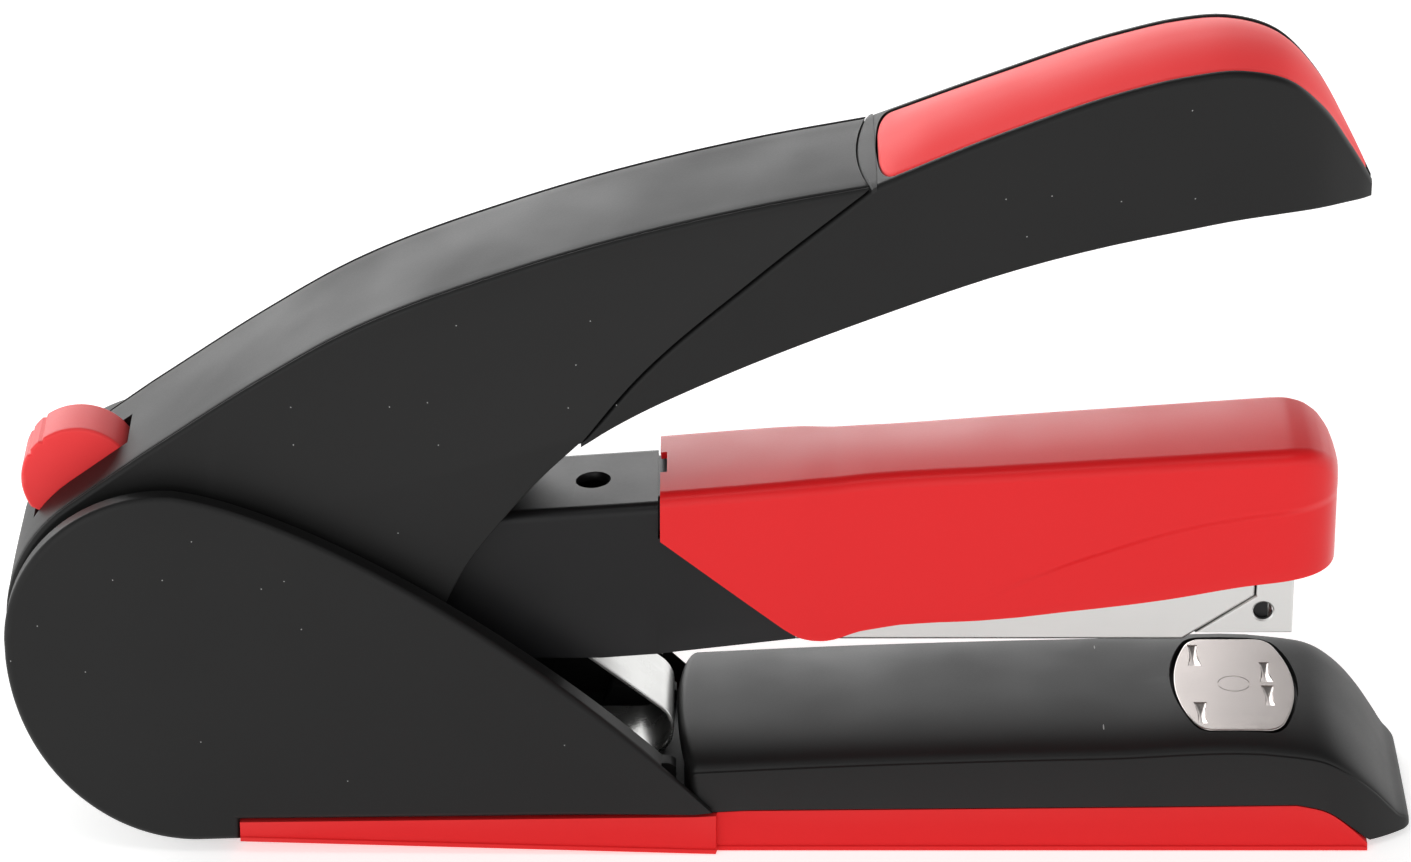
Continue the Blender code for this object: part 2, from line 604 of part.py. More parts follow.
def make_arm(paint):
    """The steel arm, wide and deep behind the nose cover, narrow under it, with the driver blade."""
    pivot = (ARM_PIVOT[0], 0.0, ARM_PIVOT[1])
    sheet = ARM_SHEET
    line = [(-69.5, arm_top(-69.5)), (-7.5, arm_top(-7.5)), (-7.5, 26.3), (-15.0, 25.7), (-60.0, 25.7)]
    line += [(-72.0, 22.5)] + arc(ARM_PIVOT, 4.0, 285, 105, 8)
    arm = plate("driver_arm", line, -ARM_OUTER, ARM_OUTER, paint["black_steel"], pivot)
    inside = [(-120.0, 10.0), (10.0, 10.0), (10.0, arm_top(10.0) - sheet)]
    inside += [(-66.0, arm_top(-66.0) - sheet), (-120.0, 42.0)]
    cut(arm, plate("cut_arm_inside", inside, -ARM_OUTER + sheet, ARM_OUTER - sheet))
    half = 7.6
    step = 0.1
    line = [(-9.0, arm_top(-9.0) - step), (75.5, arm_top(75.5) - step), (75.5, arm_top(75.5) - 6.0),
            (-9.0, arm_top(-9.0) - 4.6)]
    front = plate("add_arm_front", line, -half, half)
    web = step + sheet
    inside = [(-20.0, 30.0), (90.0, 30.0), (90.0, arm_top(90.0) - web), (-20.0, arm_top(-20.0) - web)]
    cut(front, plate("cut_arm_front_inside", inside, -half + 0.8, half - 0.8))
    join(arm, front)
    for side in (-1, 1):
        low, high = sorted((side * 7.4, side * 8.3))
        skirt = [(-14.0, 26.4), (-7.2, 26.8), (0.0, 27.3), (11.0, 28.6), (11.0, 31.5), (-6.5, 42.5), (-14.0, 42.3)]
        join(arm, plate("add_arm_skirt_%d" % side, skirt, low, high))
    hole(arm, *ARM_PIVOT, ARM_PIN_R + GAP, 20, 14)
    hole_up(arm, -16.3, 0, 40, 60, 2.25, 16)
    for x in BLADE_RIVETS:
        hole_up(arm, x, 0, 48, 60, RIVET_R + GAP, 8)
    tip = 37.4
    under = arm_top(BLADE_X) - sheet - GAP
    line = [(BLADE_X, tip), (BLADE_X + BLADE_THICK, tip), (BLADE_X + BLADE_THICK, under),
            (64.0, arm_top(64.0) - sheet - GAP), (64.0, arm_top(64.0) - sheet - GAP - BLADE_THICK),
            (BLADE_X, under - BLADE_THICK)]
    blade = plate("driver_blade", line, -CROWN_HALF + 0.2, CROWN_HALF - 0.2, paint["steel"], pivot)
    for number, x in enumerate(BLADE_RIVETS, 1):
        hole_up(blade, x, 0, 48, 60, RIVET_R + GAP, 8)
        low = arm_top(x) - sheet - GAP - BLADE_THICK - 0.1
        profile = [(-0.8, 1.8), (0, 1.8), (0, RIVET_R), (2.2, RIVET_R)]
        turned("blade_rivet_%d" % number, profile, (x, 0, low - 0.2), (0, 0, 1), 10, paint["steel"], pivot)


def nose_half(x, z, side_wall=0.0):
    """Half the width of the nose cover: narrower on top, and rounded in plan at the front."""
    wide = NOSE_TOP_HALF + NOSE_FLARE * (56.0 - z) - side_wall
    reach = 84.6 - side_wall
    run = max(0.0, x - 77.0) / (reach - 77.0)
    return wide * math.sqrt(max(0.0, 1 - 0.84 * min(run, 1.0) ** 2))


def nose_section(x, wall, side_wall, low):
    """A loop across the nose cover with chamfered top edges."""
    top = at(NOSE_TOP, x) - wall
    edge = 0.8
    right = [(x, -nose_half(x, low, side_wall), low), (x, -nose_half(x, top - edge, side_wall), top - edge),
             (x, -nose_half(x, top, side_wall) + edge, top)]
    return right + [(px, -py, pz) for px, py, pz in reversed(right)]


def make_nose(paint):
    """The red cover over the front of the arm."""
    pivot = (ARM_PIVOT[0], 0.0, ARM_PIVOT[1])
    places = [-7.1, 0.0, 6.0, 9.5, 11.9, 15.2, 19.9, 30.0, 41.3, 52.0, 61.7, 72.0, 77.0, 79.5, 81.5, 83.2, 84.2, 84.6]
    cover = loft("nose_cover", [nose_section(x, 0, 0, at(NOSE_LOW, x)) for x in places], paint["red"], pivot)
    inner = []
    for x in [-12.0, 0.0, 20.0, 50.0, 77.0, 79.5, 81.5, 82.8]:
        inner.append(nose_section(x, NOSE_WALL, NOSE_SIDE_WALL, 20.0))
    cut(cover, loft("cut_nose_inside", inner))
    cut(cover, block("cut_nose_mouth", (78.0, -MAG_OUTER - GAP, 20.0), (90.0, MAG_OUTER + GAP, 42.2)))


# Handle

def crowned(name, top, rest, half, rise, edge, material=None, pivot=None):
    """A prism across Y whose top line is domed by a rise and rounded at both edges."""
    rows = [(half, rise + edge), (half - 0.3 * edge, rise + 0.3 * edge), (half - edge, rise * 0.9),
            (half * 0.6, rise * 0.36), (0.0, 0.0)]
    rows += [(-y, drop) for y, drop in reversed(rows[:-1])]
    loops = []
    for y, drop in rows:
        loops.append([(x, y, z) for x, z in lowered(top, drop) + rest])
    return loft(name, loops, material, pivot)


def make_hood(paint):
    """The rear shell of the handle, with its tail round the hinge and a slot for the release button."""
    pivot = (HANDLE_PIVOT[0], 0.0, HANDLE_PIVOT[1])
    right = list(reversed(lowered(SEAM, -GAP - 0.1)[1:-1]))
    right += [(-17.9, 59.6), (-22.4, 55.1), (-28.7, 47.6), (-33.1, 41.4), (-35.2, 37.4), (-38.0, 31.0)]
    inside = arc(HANDLE_PIVOT, 9.0, 310, 195, 6)
    inside += arc(HANDLE_PIVOT, 17.1, 190, 205, 2)
    top = HOOD_TOP[:-1] + [(21.0, 97.2)]
    hood = crowned("handle_hood", top, right + inside, HANDLE_HALF, 1.0, 1.2, paint["black"], pivot)
    inner_top = lowered(top, HOOD_WALL + 1.0)
    inner_top[0] = (inner_top[0][0] - 2.0, inner_top[0][1] - 8.0)
    inner = inner_top + [(60.0, 92.0), (20.0, 10.0), (-60.0, 10.0)]
    half = HANDLE_HALF - HOOD_WALL
    cut(hood, plate("cut_hood_inside", inner, -half, half))
    past = lowered(SEAM, -GAP - 0.05)
    cut(hood, plate("cut_hood_seam", past + [(40.0, 120.0), (60.0, 120.0), (60.0, 50.0), (-10.0, 50.0)], -20, 20))
    hole(hood, *HANDLE_PIVOT, HANDLE_STUB_R + GAP, 30)
    hole(hood, HANDLE_PIVOT[0] + 6.5, arm_top(HANDLE_PIVOT[0] + 6.5) + GAP + ROLLER_R, ROLLER_PIN_R + GAP, 30, 12)
    button = button_centre()
    cut(hood, rod("cut_button_slot", (button[0] - 0.2, -BUTTON_HALF - GAP, button[1] - 0.2), (0, 1, 0),
                  2 * (BUTTON_HALF + GAP), BUTTON_R + 1.1, 28))


def button_centre():
    """The middle of the release button's round side."""
    return (HANDLE_PIVOT[0] - 12.0, HANDLE_PIVOT[1] + 17.4)


def button_pivot():
    """The hinge line of the release button, inside the hood."""
    return (HANDLE_PIVOT[0] - 9.2, HANDLE_PIVOT[1] + 13.8)


def make_button(paint):
    """The red release tab on the tail, with its pin."""
    x, z = button_pivot()
    outline = arc(button_centre(), BUTTON_R, 20, 212, 14)
    outline += [(x - 4.0, z - 3.0), (x + 2.4, z - 3.4), (x + 3.6, z - 0.5)]
    tab = plate("release_button", outline, -BUTTON_HALF, BUTTON_HALF, paint["red"], (x, 0, z))
    hole(tab, x, z, BUTTON_PIN_R + GAP, 10, 12)
    half = HANDLE_HALF - HOOD_WALL - 0.1
    rod("button_pin", (x, -half, z), (0, 1, 0), 2 * half, BUTTON_PIN_R, 10, paint["steel"])
    coil("button_spring", (x, BUTTON_HALF + 0.7, z), (0, 1, 0), 3.6, 1.8, 0.25, 5, 8, paint["spring"])


def lever_section(x, recess, rim):
    """A loop across the front of the handle: a flat bed for the grip between two rims."""
    half = at(LEVER_HALF, x)
    low = at(UNDERSIDE, x)
    top = min(at(RIM, x), at(SEAM, x)) if x < SEAM[-1][0] else at(RIM, x)
    top = max(top, low + 0.6)
    edge = min(1.0, 0.3 * half, 0.4 * (top - low))
    depth = recess if x > 24.0 else 0.0
    depth = min(depth, 0.6 * (top - low))
    step = min(rim, 0.5 * half)
    right = [(x, -half, low), (x, -half, top - edge), (x, -half + edge * 0.3, top - edge * 0.3),
             (x, -half + edge, top), (x, -half + step, top), (x, -half + step + 0.05, top - depth)]
    return right + [(px, -py, pz) for px, py, pz in reversed(right)]


def lever_places():
    """Positions along the front of the handle, closer together at both ends."""
    bed = [23.9, 24.1, 32.0, 40.0, 48.0, 55.0, 62.0, 68.4, 72.0, 75.0, 78.0, 80.5, 82.5, 84.5, 86.0, 87.2]
    return [x for x, z in SEAM] + bed


def make_lever(paint):
    """The front moulding of the handle: the seam at the hood, the bed of the grip and the tip."""
    pivot = (HANDLE_PIVOT[0], 0.0, HANDLE_PIVOT[1])
    lever = loft("handle_lever", [lever_section(x, 1.8, 1.6) for x in lever_places()], paint["black"], pivot)
    inner = []
    for x in [-25.0, -12.0, 0.0, 12.0, 24.0, 36.0, 48.0, 60.0, 70.0, 76.0, 79.0]:
        half = at(LEVER_HALF, x) - LEVER_WALL
        top = min(at(RIM, x), at(SEAM, x)) if x < SEAM[-1][0] else at(RIM, x) - 1.8
        if x < -17.6:
            top = 62.0
        top = top - LEVER_WALL if x > 21.3 else top + 4.0
        inner.append([(x, -half, 40.0), (x, -half, top), (x, half, top), (x, half, 40.0)])
    cut(lever, loft("cut_lever_inside", inner))
    for x in FRAME_SCREWS:
        low = at(FRAME_TOP, x) + 1.5
        join(lever, rod("add_lever_boss_%d" % x, (x, 0, low), (0, 0, 1), at(RIM, x - 3.2) - 2.4 - low, 3.2, 12))
        hole_up(lever, x, 0, low - 1, at(RIM, x) - 3.4, SCREW_R, 10)


def make_grip(paint):
    """The red pad on top of the front of the handle."""
    pivot = (HANDLE_PIVOT[0], 0.0, HANDLE_PIVOT[1])
    loops = []
    for x in [24.6, 26.0, 32.0, 40.0, 48.0, 55.0, 62.0, 68.4, 72.0, 75.0, 78.0, 80.5, 82.5, 84.0, 85.2]:
        half = at(LEVER_HALF, x) - min(1.6, 0.5 * at(LEVER_HALF, x)) - GAP
        low = at(RIM, x) - min(1.8, 0.6 * (at(RIM, x) - at(UNDERSIDE, x))) + GAP
        bulge = 2.4 * min(1.0, half / 6.0)
        start = 0.4 if x < 25.0 else 1.0
        rows = []
        for y in stations(-1.0, 1.0, 9):
            rows.append((x, y * half, at(RIM, x) + (0.1 + bulge * (1 - y * y)) * start - 0.3))
        loops.append([(x, half, low), (x, -half, low)] + rows)
    loft("grip_pad", loops, paint["grip"], pivot)


def make_handle_frame(paint):
    """The steel channel that stiffens the handle, its screws, and the roller that presses on the arm."""
    pivot = (HANDLE_PIVOT[0], 0.0, HANDLE_PIVOT[1])
    low = [(58.0, 95.4), (40.0, 90.6), (25.0, 85.7)] + list(reversed(lowered(HOOD_TOP[12:-1], HOOD_WALL + 8.2)))
    half = 7.8
    frame = plate("handle_frame", FRAME_TOP + low, -half, half, paint["steel"], pivot)
    inner = lowered(FRAME_TOP, FRAME_SHEET) + [(90.0, 60.0), (-60.0, 30.0)]
    cut(frame, plate("cut_frame_inside", inner, -half + FRAME_SHEET, half - FRAME_SHEET))
    for number, place in enumerate(FRAME_SCREWS, 1):
        web = at(FRAME_TOP, place)
        hole_up(frame, place, 0, web - 8, web + 8, SCREW_R + GAP, 10)
        profile = [(0, SCREW_HEAD_R), (1.2, SCREW_HEAD_R), (1.2, SCREW_R - 0.2), (7.6, SCREW_R - 0.2)]
        turned("frame_screw_%d" % number, profile, (place, 0, web - FRAME_SHEET - 2.6), (0, 0, 1), 10,
               paint["steel"], pivot)
    x = HANDLE_PIVOT[0] + 6.5
    z = arm_top(x) + GAP + ROLLER_R
    rod("roller_pin", (x, -HANDLE_HALF + 0.5, z), (0, 1, 0), 2 * HANDLE_HALF - 1.0, ROLLER_PIN_R, 12, paint["steel"])
    roller = rod("drive_roller", (x, -6.0, z), (0, 1, 0), 12.0, ROLLER_R, 18, paint["steel"], pivot)
    hole(roller, x, z, ROLLER_PIN_R + GAP, 20, 12)


# Springs that bend

def make_leaf(paint):
    """The return spring: a folded steel strip between the tray and the bottom of the magazine."""
    half = 7.0
    fold = (-9.9, 13.6)
    outer = [(-26.0, 9.0)] + arc(fold, 4.6, 270, 414, 10) + [(-18.6, 26.6), (-21.0, 27.2)]
    inner = [(-21.0, 26.7), (-18.9, 26.1)] + arc(fold, 4.1, 414, 270, 10) + [(-26.0, 9.5)]
    plate("return_spring", outer + inner, -half, half, paint["spring"])


def make_driver_spring(paint):
    """The leaf between the magazine and the arm, which lifts the driver blade again."""
    under = arm_top(-20.0) - ARM_SHEET - GAP
    top = [(-58.0, MAG_TOP + GAP + 0.5), (-40.0, MAG_TOP + GAP + 0.6), (-26.0, under - 2.2), (-18.0, under)]
    low = lowered(top, 0.5)
    plate("driver_spring", top + list(reversed(low)), -5.0, 5.0, paint["spring"])


def build():
    """Makes the whole stapler."""
    for old in list(bpy.data.objects):
        bpy.data.objects.remove(old, do_unlink=True)
    bpy.context.scene.unit_settings.system = "METRIC"
    paint = make_finishes()
    make_base(paint)
    make_cheeks(paint)
    make_sole(paint)
    make_sole_screws(paint)
    make_bracket(paint)
    make_hinge_pins(paint)
    make_anvil(paint)
    make_magazine(paint)
    make_drawer(paint)
    make_arm(paint)
    make_nose(paint)
    make_hood(paint)
    make_lever(paint)
    make_grip(paint)
    make_button(paint)
    make_handle_frame(paint)
    make_leaf(paint)
    make_driver_spring(paint)


build()
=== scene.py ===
"""The looks of a lever stapler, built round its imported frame.

Everything is in the row frame: X forward to the anvil, Y across, Z up, on the surface that it stands on.
Outlines and sizes are in millimetres, and become metres where a mesh is made.
"""

import json
import logging
import math
from collections.abc import Sequence
from dataclasses import dataclass, field
from enum import Enum

import bmesh
import bpy
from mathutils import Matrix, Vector


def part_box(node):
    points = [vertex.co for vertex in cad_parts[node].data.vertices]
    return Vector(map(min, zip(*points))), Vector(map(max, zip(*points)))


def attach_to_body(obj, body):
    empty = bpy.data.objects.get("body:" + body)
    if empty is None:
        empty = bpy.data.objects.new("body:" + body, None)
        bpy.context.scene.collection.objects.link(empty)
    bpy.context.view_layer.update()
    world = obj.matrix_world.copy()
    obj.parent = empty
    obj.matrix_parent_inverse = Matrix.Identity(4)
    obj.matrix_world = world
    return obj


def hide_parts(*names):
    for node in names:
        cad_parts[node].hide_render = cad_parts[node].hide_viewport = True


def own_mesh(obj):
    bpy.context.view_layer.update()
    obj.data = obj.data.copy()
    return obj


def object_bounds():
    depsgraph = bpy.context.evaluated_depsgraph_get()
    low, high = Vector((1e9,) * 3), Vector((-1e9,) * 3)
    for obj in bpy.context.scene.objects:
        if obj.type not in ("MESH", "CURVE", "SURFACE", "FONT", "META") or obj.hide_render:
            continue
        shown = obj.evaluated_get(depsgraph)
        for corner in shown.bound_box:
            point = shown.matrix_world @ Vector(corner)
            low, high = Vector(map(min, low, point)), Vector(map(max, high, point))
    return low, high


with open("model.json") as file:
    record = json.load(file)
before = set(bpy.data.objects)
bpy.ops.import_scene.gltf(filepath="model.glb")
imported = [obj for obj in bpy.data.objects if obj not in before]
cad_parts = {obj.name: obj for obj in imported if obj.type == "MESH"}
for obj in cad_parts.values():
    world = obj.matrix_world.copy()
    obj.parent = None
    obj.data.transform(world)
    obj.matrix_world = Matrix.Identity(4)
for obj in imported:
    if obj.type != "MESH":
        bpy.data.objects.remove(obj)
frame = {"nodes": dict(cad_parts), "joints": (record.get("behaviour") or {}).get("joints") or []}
CAD_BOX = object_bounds()

MM = 0.001
LOG = logging.getLogger("stapler")

Point = tuple[float, float]
Point3 = tuple[float, float, float]
Row = tuple[float, Sequence[float]]


class Slot(Enum):
    """The record's material slots."""

    BLACK = "black_plastic"
    RED = "red_plastic"
    GRIP = "red_grip"
    SOLE = "red_sole"
    RUBBER = "black_rubber"
    BLACK_STEEL = "black_steel"
    ZINC = "zinc_steel"
    MAGAZINE = "magazine_steel"
    SPRING = "spring_steel"
    CHROME = "anvil_chrome"


class Join(Enum):
    """How one solid is combined with another."""

    CUT = "DIFFERENCE"
    ADD = "UNION"


# Lines and outlines


def arc(centre: Point, radius: float, start: float, end: float, steps: int) -> list[Point]:
    """Points along an arc.

    Args:
        centre: middle of the arc.
        radius: its radius.
        start: first angle in degrees, anticlockwise from the first axis.
        end: last angle in degrees.
        steps: number of straight steps.

    Returns:
        The points, both ends included.
    """
    points = []
    for index in range(steps + 1):
        angle = math.radians(start + (end - start) * index / steps)
        points.append((centre[0] + radius * math.cos(angle), centre[1] + radius * math.sin(angle)))
    return points


def ellipse(centre: Point, across: float, up: float, start: float, end: float, steps: int) -> list[Point]:
    """Points along part of an ellipse whose axes lie along the two axes.

    Args:
        centre: middle of the ellipse.
        across: half its size along the first axis.
        up: half its size along the second axis.
        start: first angle in degrees.
        end: last angle in degrees.
        steps: number of straight steps.

    Returns:
        The points, both ends included.
    """
    flat = arc((0.0, 0.0), 1.0, start, end, steps)
    return [(centre[0] + across * x, centre[1] + up * z) for x, z in flat]


def through(knots: Sequence[Point], steps: int) -> list[Point]:
    """A smooth line through the knots.

    Args:
        knots: the points that the line passes.
        steps: number of straight steps between two knots.

    Returns:
        The points of the line, from the first knot to the last.
    """
    vectors = [Vector(knot) for knot in knots]
    ends = [2 * vectors[0] - vectors[1], *vectors, 2 * vectors[-1] - vectors[-2]]
    slopes, runs = [], []
    for a, b in zip(ends, ends[1:]):
        runs.append((b - a).length)
        slopes.append((b - a) / runs[-1])
    tangents = []
    for before, after, run_before, run_after in zip(slopes, slopes[1:], runs, runs[1:]):
        tangents.append((before * run_after + after * run_before) / (run_before + run_after))
    points = []
    for index in range(len(vectors) - 1):
        a, b, run = vectors[index], vectors[index + 1], runs[index + 1]
        for step in range(steps):
            t = step / steps
            spot = a * (2 * t ** 3 - 3 * t * t + 1) + b * (3 * t * t - 2 * t ** 3)
            spot += (tangents[index] * (t ** 3 - 2 * t * t + t) + tangents[index + 1] * (t ** 3 - t * t)) * run
            points.append(tuple(spot))
    points.append(tuple(vectors[-1]))
    return points


def bezier(a: Point, b: Point, c: Point, d: Point, steps: int) -> list[Point]:
    """Points along a cubic from a to d, drawn towards b and c, in the given number of steps."""
    points = []
    for index in range(steps + 1):
        t = index / steps
        weights = ((1 - t) ** 3, 3 * t * (1 - t) ** 2, 3 * t * t * (1 - t), t ** 3)
        points.append(tuple(sum(w * p[k] for w, p in zip(weights, (a, b, c, d))) for k in (0, 1)))
    return points


def at(line: Sequence[Point], x: float) -> float:
    """The height of a line at x; past its ends, the end's own height."""
    if x <= line[0][0]:
        return line[0][1]
    for a, b in zip(line, line[1:]):
        if x <= b[0]:
            return a[1] + (b[1] - a[1]) * (x - a[0]) / (b[0] - a[0])
    return line[-1][1]


def spread(start: float, end: float, count: int) -> list[float]:
    """Evenly spaced values from start to end, both included."""
    return [start + (end - start) * index / (count - 1) for index in range(count)]


def towards(start: float, end: float, count: int) -> list[float]:
    """Values from start to end that close up towards the end, both included."""
    return [start + (end - start) * math.sin(math.pi / 2 * index / (count - 1)) for index in range(count)]


def lowered(line: Sequence[Point], distance: float) -> list[Point]:
    """An open line moved to the right of its direction of travel by a distance."""
    moved = []
    for index, point in enumerate(line):
        a = line[max(index - 1, 0)]
        b = line[min(index + 1, len(line) - 1)]
        run = math.hypot(b[0] - a[0], b[1] - a[1])
        moved.append((point[0] + (b[1] - a[1]) / run * distance, point[1] - (b[0] - a[0]) / run * distance))
    return moved


def evened(line: Sequence[Point], spacing: float) -> list[Point]:
    """A line with points about one spacing apart along it.

    Args:
        line: an open line.
        spacing: wanted distance between two points.

    Returns:
        The new line, with the same ends.
    """
    lengths = [0.0]
    for a, b in zip(line, line[1:]):
        lengths.append(lengths[-1] + math.hypot(b[0] - a[0], b[1] - a[1]))
    count = max(2, round(lengths[-1] / spacing) + 1)
    points = []
    for place in spread(0.0, lengths[-1], count):
        index = max(i for i, length in enumerate(lengths[:-1]) if length <= place + 1e-9)
        share = (place - lengths[index]) / (lengths[index + 1] - lengths[index])
        a, b = line[index], line[index + 1]
        points.append((a[0] + (b[0] - a[0]) * share, a[1] + (b[1] - a[1]) * share))
    return points


def inward(outline: Sequence[Point], distances: Sequence[float]) -> list[Point]:
    """Moves each point of a closed outline inwards.

    Args:
        outline: the closed outline, without its first point repeated.
        distances: how far each point moves.

    Returns:
        The smaller outline.
    """
    count = len(outline)
    area = sum(a[0] * b[1] - b[0] * a[1] for a, b in zip(outline, [*outline[1:], outline[0]]))
    turn = math.copysign(1.0, area)
    moved = []
    for index, (x, z) in enumerate(outline):
        a = outline[index - 1]
        b = outline[(index + 1) % count]
        before = Vector((x - a[0], z - a[1])).normalized()
        after = Vector((b[0] - x, b[1] - z)).normalized()
        along = (before + after).normalized()
        side = Vector((-along.y, along.x)) * turn
        mitre = 1 / max(side.dot(Vector((-after.y, after.x)) * turn), 0.6)
        reach = distances[index] * mitre
        moved.append((x + side.x * reach, z + side.y * reach))
    return moved


def barrel(low: Vector, high: Vector, room: float) -> list[Point]:
    """The plan outline of the anvil: two bowed sides and two straight ends, with round corners.

    Args:
        low: lowest corner of its box.
        high: highest corner of its box.
        room: how far the outline lies outside the box.

    Returns:
        The closed outline, anticlockwise.
    """
    middle = (low.x + high.x) / 2
    half, end = (high.x - low.x) / 2 + room, high.y + room
    bow, corner, steps = 30.0, 2.2, 24
    reach = math.degrees(math.asin((end - corner) / bow))
    side = arc((half - bow, 0.0), bow, -reach, reach, steps)
    top = side[-1]
    slant = Vector((side[-1][0] - side[-2][0], side[-1][1] - side[-2][1])).normalized() * corner * 0.6
    flat = (top[0] - corner - 0.5, end)
    side += bezier(top, (top[0] + slant.x, top[1] + slant.y), (flat[0] + corner * 0.6, end), flat, 8)[1:]
    foot = [(x, -y) for x, y in reversed(side[steps + 1:])]
    right = foot + side
    return [(middle + x, y) for x, y in right] + [(middle - x, -y) for x, y in right]


# Meshes


def solid(name: str, points: Sequence[Point3], faces: Sequence[Sequence[int]]) -> bpy.types.Object:
    """A closed mesh from points in millimetres, with its faces turned outwards.

    Args:
        name: name of the object.
        points: corners in millimetres.
        faces: corner numbers of each face.

    Returns:
        The new object, at the origin.
    """
    mesh = bpy.data.meshes.new(name)
    mesh.from_pydata([[value * MM for value in point] for point in points], [], faces)
    work = bmesh.new()
    work.from_mesh(mesh)
    bmesh.ops.remove_doubles(work, verts=work.verts, dist=0.000002)
    bmesh.ops.dissolve_degenerate(work, edges=work.edges, dist=0.0000005)
    bmesh.ops.recalc_face_normals(work, faces=work.faces)
    work.to_mesh(mesh)
    work.free()
    made = bpy.data.objects.new(name, mesh)
    bpy.context.scene.collection.objects.link(made)
    return made


def skin(name: str, loops: Sequence[Sequence[Point3]], first_cap: bool = True,
         last_cap: bool = True) -> bpy.types.Object:
    """A solid through closed loops that all have the same number of points.

    Args:
        name: name of the object.
        loops: the loops in order.
        first_cap: whether the first loop is filled.
        last_cap: whether the last loop is filled.

    Returns:
        The new object.
    """
    count = len(loops[0])
    points = [point for loop in loops for point in loop]
    faces = [list(range(count))] if first_cap else []
    for row in range(len(loops) - 1):
        first = row * count
        for index in range(count):
            after = (index + 1) % count
            faces.append([first + index, first + after, first + count + after, first + count + index])
    if last_cap:
        faces.append(list(range((len(loops) - 1) * count, len(loops) * count)))
    return solid(name, points, faces)


def sheet_skin(name: str, lines: Sequence[Sequence[Point3]]) -> bpy.types.Object:
    """An open sheet through lines that all have the same number of points."""
    count = len(lines[0])
    points = [point for line in lines for point in line]
    faces = []
    for row in range(len(lines) - 1):
        for index in range(count - 1):
            first = row * count + index
            faces.append([first, first + 1, first + count + 1, first + count])
    return solid(name, points, faces)


def edge_rows(low: float, high: float, radius: float, steps: int) -> list[tuple[float, float]]:
    """(place, inset) pairs for a slab between two places, with both of its edges rounded."""
    start = []
    for index in range(steps + 1):
        angle = math.pi / 2 * index / steps
        start.append((low + radius * (1 - math.cos(angle)), radius * (1 - math.sin(angle))))
    return start + [(low + high - place, inset) for place, inset in reversed(start)]


def across(name: str, outline: Sequence[Point], rows: Sequence[Row]) -> bpy.types.Object:
    """A solid whose side outline is repeated at several values of Y.

    Args:
        name: name of the object.
        outline: closed outline in X-Z.
        rows: a value of Y, and how far each point of the outline moves inwards there.

    Returns:
        The new object.
    """
    return skin(name, [[(x, y, z) for x, z in inward(outline, insets)] for y, insets in rows])


def slab(name: str, outline: Sequence[Point], rows: Sequence[tuple[float, float]]) -> bpy.types.Object:
    """A solid whose plan outline is repeated at several heights, each with its own inset."""
    loops = []
    for z, inset in rows:
        loops.append([(x, y, z) for x, y in inward(outline, [inset] * len(outline))])
    return skin(name, loops)


def plate(name: str, outline: Sequence[Point], low: float, high: float, edge: float = 0.0) -> bpy.types.Object:
    """A flat plate with an outline in X-Z, between two values of Y, its edges rounded by a radius."""
    rows = edge_rows(low, high, edge, 3) if edge else [(low, 0.0), (high, 0.0)]
    return across(name, outline, [(y, [inset] * len(outline)) for y, inset in rows])


def block(name: str, low: Point3, high: Point3) -> bpy.types.Object:
    """A box between two corners, used to cut."""
    outline = [(low[0], low[2]), (high[0], low[2]), (high[0], high[2]), (low[0], high[2])]
    return plate(name, outline, low[1], high[1])


def turned(name: str, profile: Sequence[Point], base: Point3, axis: Point3, sides: int) -> bpy.types.Object:
    """A turned solid.

    Args:
        name: name of the object.
        profile: (distance along the axis, radius) pairs.
        base: where the axis starts.
        axis: unit direction of the axis.
        sides: number of sides.

    Returns:
        The new object.
    """
    direction = Vector(axis)
    side = direction.orthogonal().normalized()
    other = direction.cross(side)
    loops = []
    for along, radius in profile:
        loop = []
        for index in range(sides):
            angle = 2 * math.pi * index / sides
            spot = Vector(base) + direction * along + (side * math.cos(angle) + other * math.sin(angle)) * radius
            loop.append(tuple(spot))
        loops.append(loop)
    return skin(name, loops)


def freeze(made: bpy.types.Object) -> bpy.types.Object:
    """Turns an object with its modifiers into a plain mesh."""
    graph = bpy.context.evaluated_depsgraph_get()
    mesh = bpy.data.meshes.new_from_object(made.evaluated_get(graph), depsgraph=graph)
    made.modifiers.clear()
    old = made.data
    made.data = mesh
    mesh.name = made.name
    if old.users == 0:
        bpy.data.meshes.remove(old)
    return made


def combine(target: bpy.types.Object, join: Join, *others: bpy.types.Object) -> bpy.types.Object:
    """Combines solids with a target and removes them.

    Args:
        target: the solid that is changed.
        join: whether the others are cut away or added.
        others: the other solids.

    Returns:
        The target.
    """
    for other in others:
        step = target.modifiers.new(other.name, "BOOLEAN")
        step.operation = join.value
        step.solver = "EXACT"
        step.object = other
        before = len(target.data.polygons)
        freeze(target)
        if len(target.data.polygons) < before / 4:
            raise RuntimeError("%s lost its shape at %s" % (target.name, other.name))
        bpy.data.objects.remove(other, do_unlink=True)
    return target


def attach(target: bpy.types.Object, *others: bpy.types.Object, weld: bool = False) -> bpy.types.Object:
    """Puts the meshes of other solids into the target's mesh, welded if asked, and removes the others."""
    work = bmesh.new()
    for each in (target, *others):
        work.from_mesh(each.data)
    if weld:
        bmesh.ops.remove_doubles(work, verts=work.verts, dist=0.000002)
        bmesh.ops.recalc_face_normals(work, faces=work.faces)
    work.to_mesh(target.data)
    work.free()
    for other in others:
        bpy.data.objects.remove(other, do_unlink=True)
    return target


